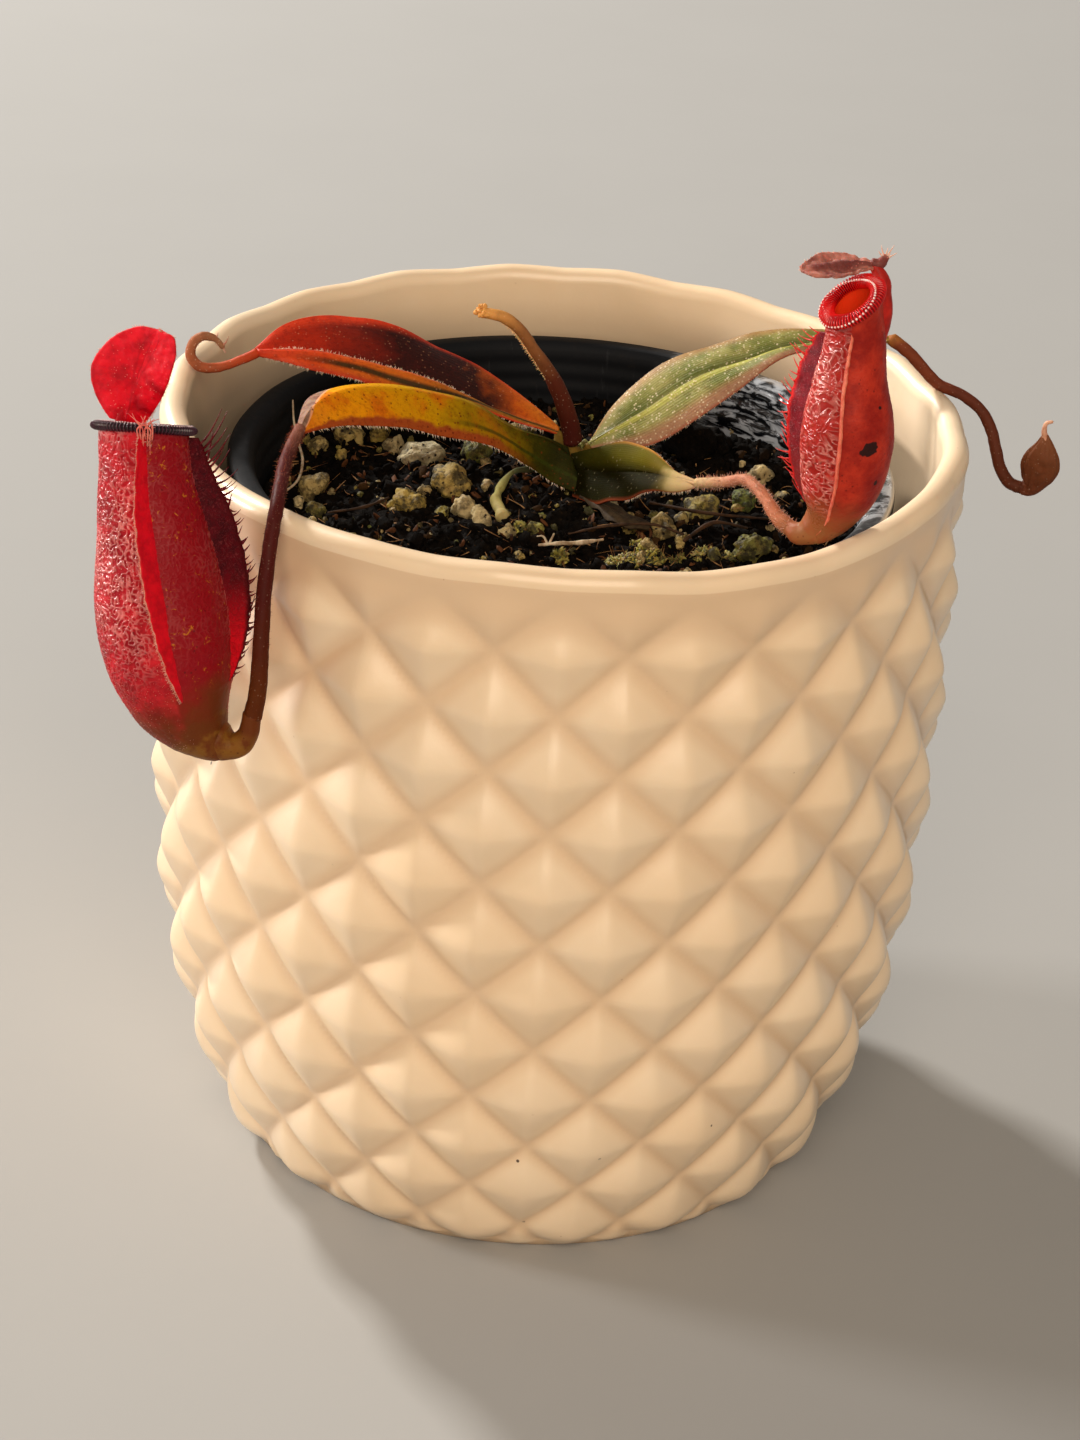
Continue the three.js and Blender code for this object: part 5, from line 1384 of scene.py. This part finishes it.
def right_pitcher():
    pitcher = Pitcher(
        [[40.9, -42.2, 137.9], [42.4, -42.5, 139], [44, -42.7, 141.8], [45, -43, 146], [45.5, -43, 151],
         [45.5, -43, 157], [45.1, -42.5, 164.5], [45, -42, 171.5], [44.4, -42, 178]],
        [1.8, 3.9, 6, 7.1, 7.5, 7.2, 6.2, 5.4, 5.1, 5], [-0.74, -0.67, 0], [-0.55, -0.22, 0.8],
        ((-0.84, -0.76), (0.54, 0.6)))
    wing_a = {"angle": -0.8, "start": 0.12, "stop": 0.93, "width": 4.3, "lean": -0.5, "ragged": 0.7}
    wing_b = {"angle": 0.58, "start": 0.03, "stop": 0.96, "width": 0.8, "lean": 0.3, "ragged": 0.4}
    knee = tube([[37.8, -40.2, 137.9], [39.6, -41.9, 137.7], [41.5, -42.4, 138.7], [43.3, -42.6, 141]],
                [1.3, 1.9, 2.6, 3.2], 60, 48, 0.08, 1.2, 18)

    def crinkle(points, t, angle):
        front = band(angle, (-0.9, -0.7), (0.5, 0.62))
        worm = folds(bent(points, 0.6, 1.7, (34, 35, 36)) + points * (-0.2, -0.2, 0.25), 0.68, 12)
        amount = (0.02 + 0.15 * front) * between(t, 0.08, 0.25)
        rough = 0.10 * noise(points, 4, 15) + 0.03 * noise(points, 0.7, 7)
        return amount * (worm - 0.5) + rough, worm * front

    slot = "pitcher_red"
    body = pitcher.body(560, knee, crinkle, ((0.47, 1.27, 0.16), (0.34, 1.6, 0.06), (0.62, 1.6, 0.03)))
    # Its fourth colour is the painted highlight on the crinkles' crests.
    paint = pitcher_paint(slot, (0.50, 0.034, 0.014), (0.24, 0.009, 0.006), (0.46, 0.024, 0.018),
                          (0.95, 0.36, 0.29), (0.26, 0.075, 0.025), (0.24, 0.11, 0.04), 0.15)
    piece("pitcher_right_body", body, paint, ["pitcher_right"])
    dusky = wing_paint("wing_red", (0.25, 0.008, 0.016), (0.12, 0.003, 0.008), (0.62, 0.010, 0.010),
                       (0.24, 0.02, 0.02))
    piece("pitcher_right_wing_a", pitcher.wing(wing_a), dusky)
    piece("pitcher_right_wing_b", pitcher.wing(wing_b), plain("wing_pink"))
    teeth = pitcher.wing_hairs(wing_a, 31, lambda s: 2.9 + 0.6 * s, 0.2, 81, (0, 0, 0.25))
    piece("pitcher_right_hairs", teeth, plain("red_hair"))
    red = rim_paint("rim_red", (0.66, 0.008, 0.008), (0.24, 0.002, 0.004), 0.22, 0)
    piece("pitcher_right_rim", pitcher.rim(1.2, 0.9, -0.4, 0.6, 64, 0.16, 960), red)
    beads = pitcher.beads(54, 0.2, 1.25, 0.92, -0.4, 0.6, 5, 120)
    piece("pitcher_right_teeth", beads, plain("rim_bead"))
    lid, grid = lid_shape(
        [[47.6, -38.4, 183.9], [44.5, -37.6, 184.2], [40.5, -38.4, 185], [37, -42, 185.3],
         [35, -45.6, 184.9]],
        [[47.6, -39, 183.7], [43, -41.2, 184], [38.5, -44, 184.3], [35.2, -46, 184.6]],
        [[47.4, -39.6, 183.6], [44.6, -43, 183.7], [41.2, -46.6, 184], [37, -47.8, 184.4],
         [35.3, -46.5, 184.5]],
        [[46.8, -39.1, 183.9], [48, -39, 183.9], [49, -38.3, 184.9]], 1.0, 0.2)
    rose = lid_paint("lid_rose", (0.54, 0.19, 0.14), (0.16, 0.03, 0.025), 0.85)
    piece("pitcher_right_lid", lid, rose)
    hinge = tube([[47.2, -42, 168], [48.2, -41.4, 173], [48.6, -40.6, 178], [48.4, -39.8, 181.6],
                  [46.9, -39.1, 183.8]], [0.8, 2.0, 2.2, 1.6, 0.8], 70, 32, 0.1, 1.5, 23)
    piece("pitcher_right_hinge", hinge, plain("hinge"))
    spur = hairs([[48.8, -38.6, 184.6]] * 6,
                 [[0.5, 0, 1], [1, 0, 0.5], [-0.6, 0.2, 1], [0.1, 0.3, 1], [-0.9, 0, 0.6], [0.8, 0, 1]],
                 [2.2, 1.8, 2.0, 1.5, 1.6, 1.0], 0.2, (0.1, 0, 0.2), 6, 5)
    lid_hairs = joined([edge_hairs(grid, 60, 0.5, 0.06, 84), spur])
    piece("pitcher_right_lid_hairs", lid_hairs, plain("lid_hair"))


def bud():
    """The closed pitcher at the right tendril's end: a flattened furrowed pod with a hook."""
    line = Line([[80.4, 10.4, 126.4], [81.8, 10.1, 125.9], [83.4, 9.9, 126.4], [84.3, 9.6, 128.5],
                 [84.8, 9.2, 131.5], [85, 9, 134.4], [84.9, 9, 136.9]])
    t = np.linspace(0, 1, 140)
    n = line.tangent(t)
    broad = np.array([0.96, -0.28, 0])
    side = unit(broad - n * (n @ broad)[:, None])
    thick = np.cross(n, side)
    width = width_along([1, 1.3, 2.1, 3.0, 3.4, 2.9, 1.7, 0.5]).point(t)[:, :1]
    angle = turns(64)
    vein = 1 + 0.05 * np.cos(angle * 11)
    rings = line.at(t)[:, None] + side[:, None] * (width * np.cos(angle) * vein)[..., None] \
        + thick[:, None] * ((0.4 + 0.45 * width) * np.sin(angle) * vein)[..., None]
    rough = 0.2 * noise(rings, 1.3, 3) - 0.28 * folds(rings * (1, 1, 0.3), 0.8, 4)
    rings = rings + rough[..., None] * (thick[:, None] * np.sin(angle)[:, None])
    pod = loft(rings, line.at(0.0), line.at(1.0), along=t)
    brown = skin("pitcher_brown", 0.55, 0.12, (0.0, 0.10, 0.025, 0.012), (0.6, 0.14, 0.042, 0.016),
                 (1.0, 0.20, 0.07, 0.03))
    piece("pitcher_bud_pod", pod, brown, ["pitcher_bud"])
    hook = tube([[85, 9, 136], [84.6, 9, 137.6], [84.8, 9, 139], [85.8, 9, 139.4]], [0.7, 0.5, 0.4, 0.3],
                24, 12)
    piece("pitcher_bud_hook", hook, plain("bud_hook"))


# ---- stage ----

def camera():
    """The photo's own view: pitch, yaw and roll in degrees, place in metres and lens in millimetres."""
    pitch, yaw, roll = (math.radians(a) for a in (27.78, -0.08, 3.87))
    forward = Vector((math.sin(yaw) * math.cos(pitch), math.cos(yaw) * math.cos(pitch), -math.sin(pitch)))
    right = Vector((math.cos(yaw), -math.sin(yaw), 0))
    up = right.cross(forward)
    turned = [math.cos(roll) * right + math.sin(roll) * up, math.cos(roll) * up - math.sin(roll) * right,
              -forward]
    data = bpy.data.cameras.new("camera")
    data.lens = 86.525
    data.clip_end = 20
    made = placed("camera", data)
    made.matrix_world = Matrix.Translation((0, -0.5583, 0.372)) @ Matrix(turned).transposed().to_4x4()
    bpy.context.scene.camera = made


def softbox(name, place, target, size, power, colour):
    """A square lamp that faces its target, in metres and watts."""
    data = bpy.data.lights.new(name, "AREA")
    data.shape = "SQUARE"
    data.size = size
    data.energy = power
    data.color = colour
    made = placed(name, data)
    made.location = place
    made.rotation_mode = "QUATERNION"
    made.rotation_quaternion = (Vector(target) - Vector(place)).to_track_quat("-Z", "Y")


def stage():
    """A plain floor, a soft sky and three lamps."""
    bpy.context.scene.view_settings.view_transform = "Standard"
    p = Paint("floor", 0.9, 0.1)
    corners = [(-FLOOR, -FLOOR, 0), (FLOOR, -FLOOR, 0), (FLOOR, FLOOR, 0), (-FLOOR, FLOOR, 0)]
    mesh = bpy.data.meshes.new("floor")
    mesh.from_pydata(corners, [], [(0, 1, 2, 3)])
    grey = p.mix(p.noise(60, 3), (0.35, 0.345, 0.335), (0.365, 0.36, 0.35))
    mesh.materials.append(p.finished(Base_Color=grey))
    placed("floor", mesh)
    world = bpy.data.worlds.new("studio")
    bpy.context.scene.world = world
    world.use_nodes = True
    sky = world.node_tree.nodes["Background"]
    sky.inputs[0].default_value = (0.86, 0.83, 0.79, 1)
    sky.inputs[1].default_value = 0.26
    softbox("key", (-1.5, 1.75, 1.5), (0, 0, 0.1), 0.3, 88, (1.0, 0.96, 0.90))
    softbox("fill", (0.1, -2.3, 1.6), (0, 0, 0.08), 1.9, 59, (1.0, 0.85, 0.68))
    softbox("side", (-2.1, 0.4, 0.6), (0, 0, 0.12), 0.4, 38, (1.0, 0.97, 0.94))


camera()
stage()
cachepot()
nursery_pot()
soil()
stones()
litter()
leaves()
stems()
tendrils()
left_pitcher()
right_pitcher()
bud()
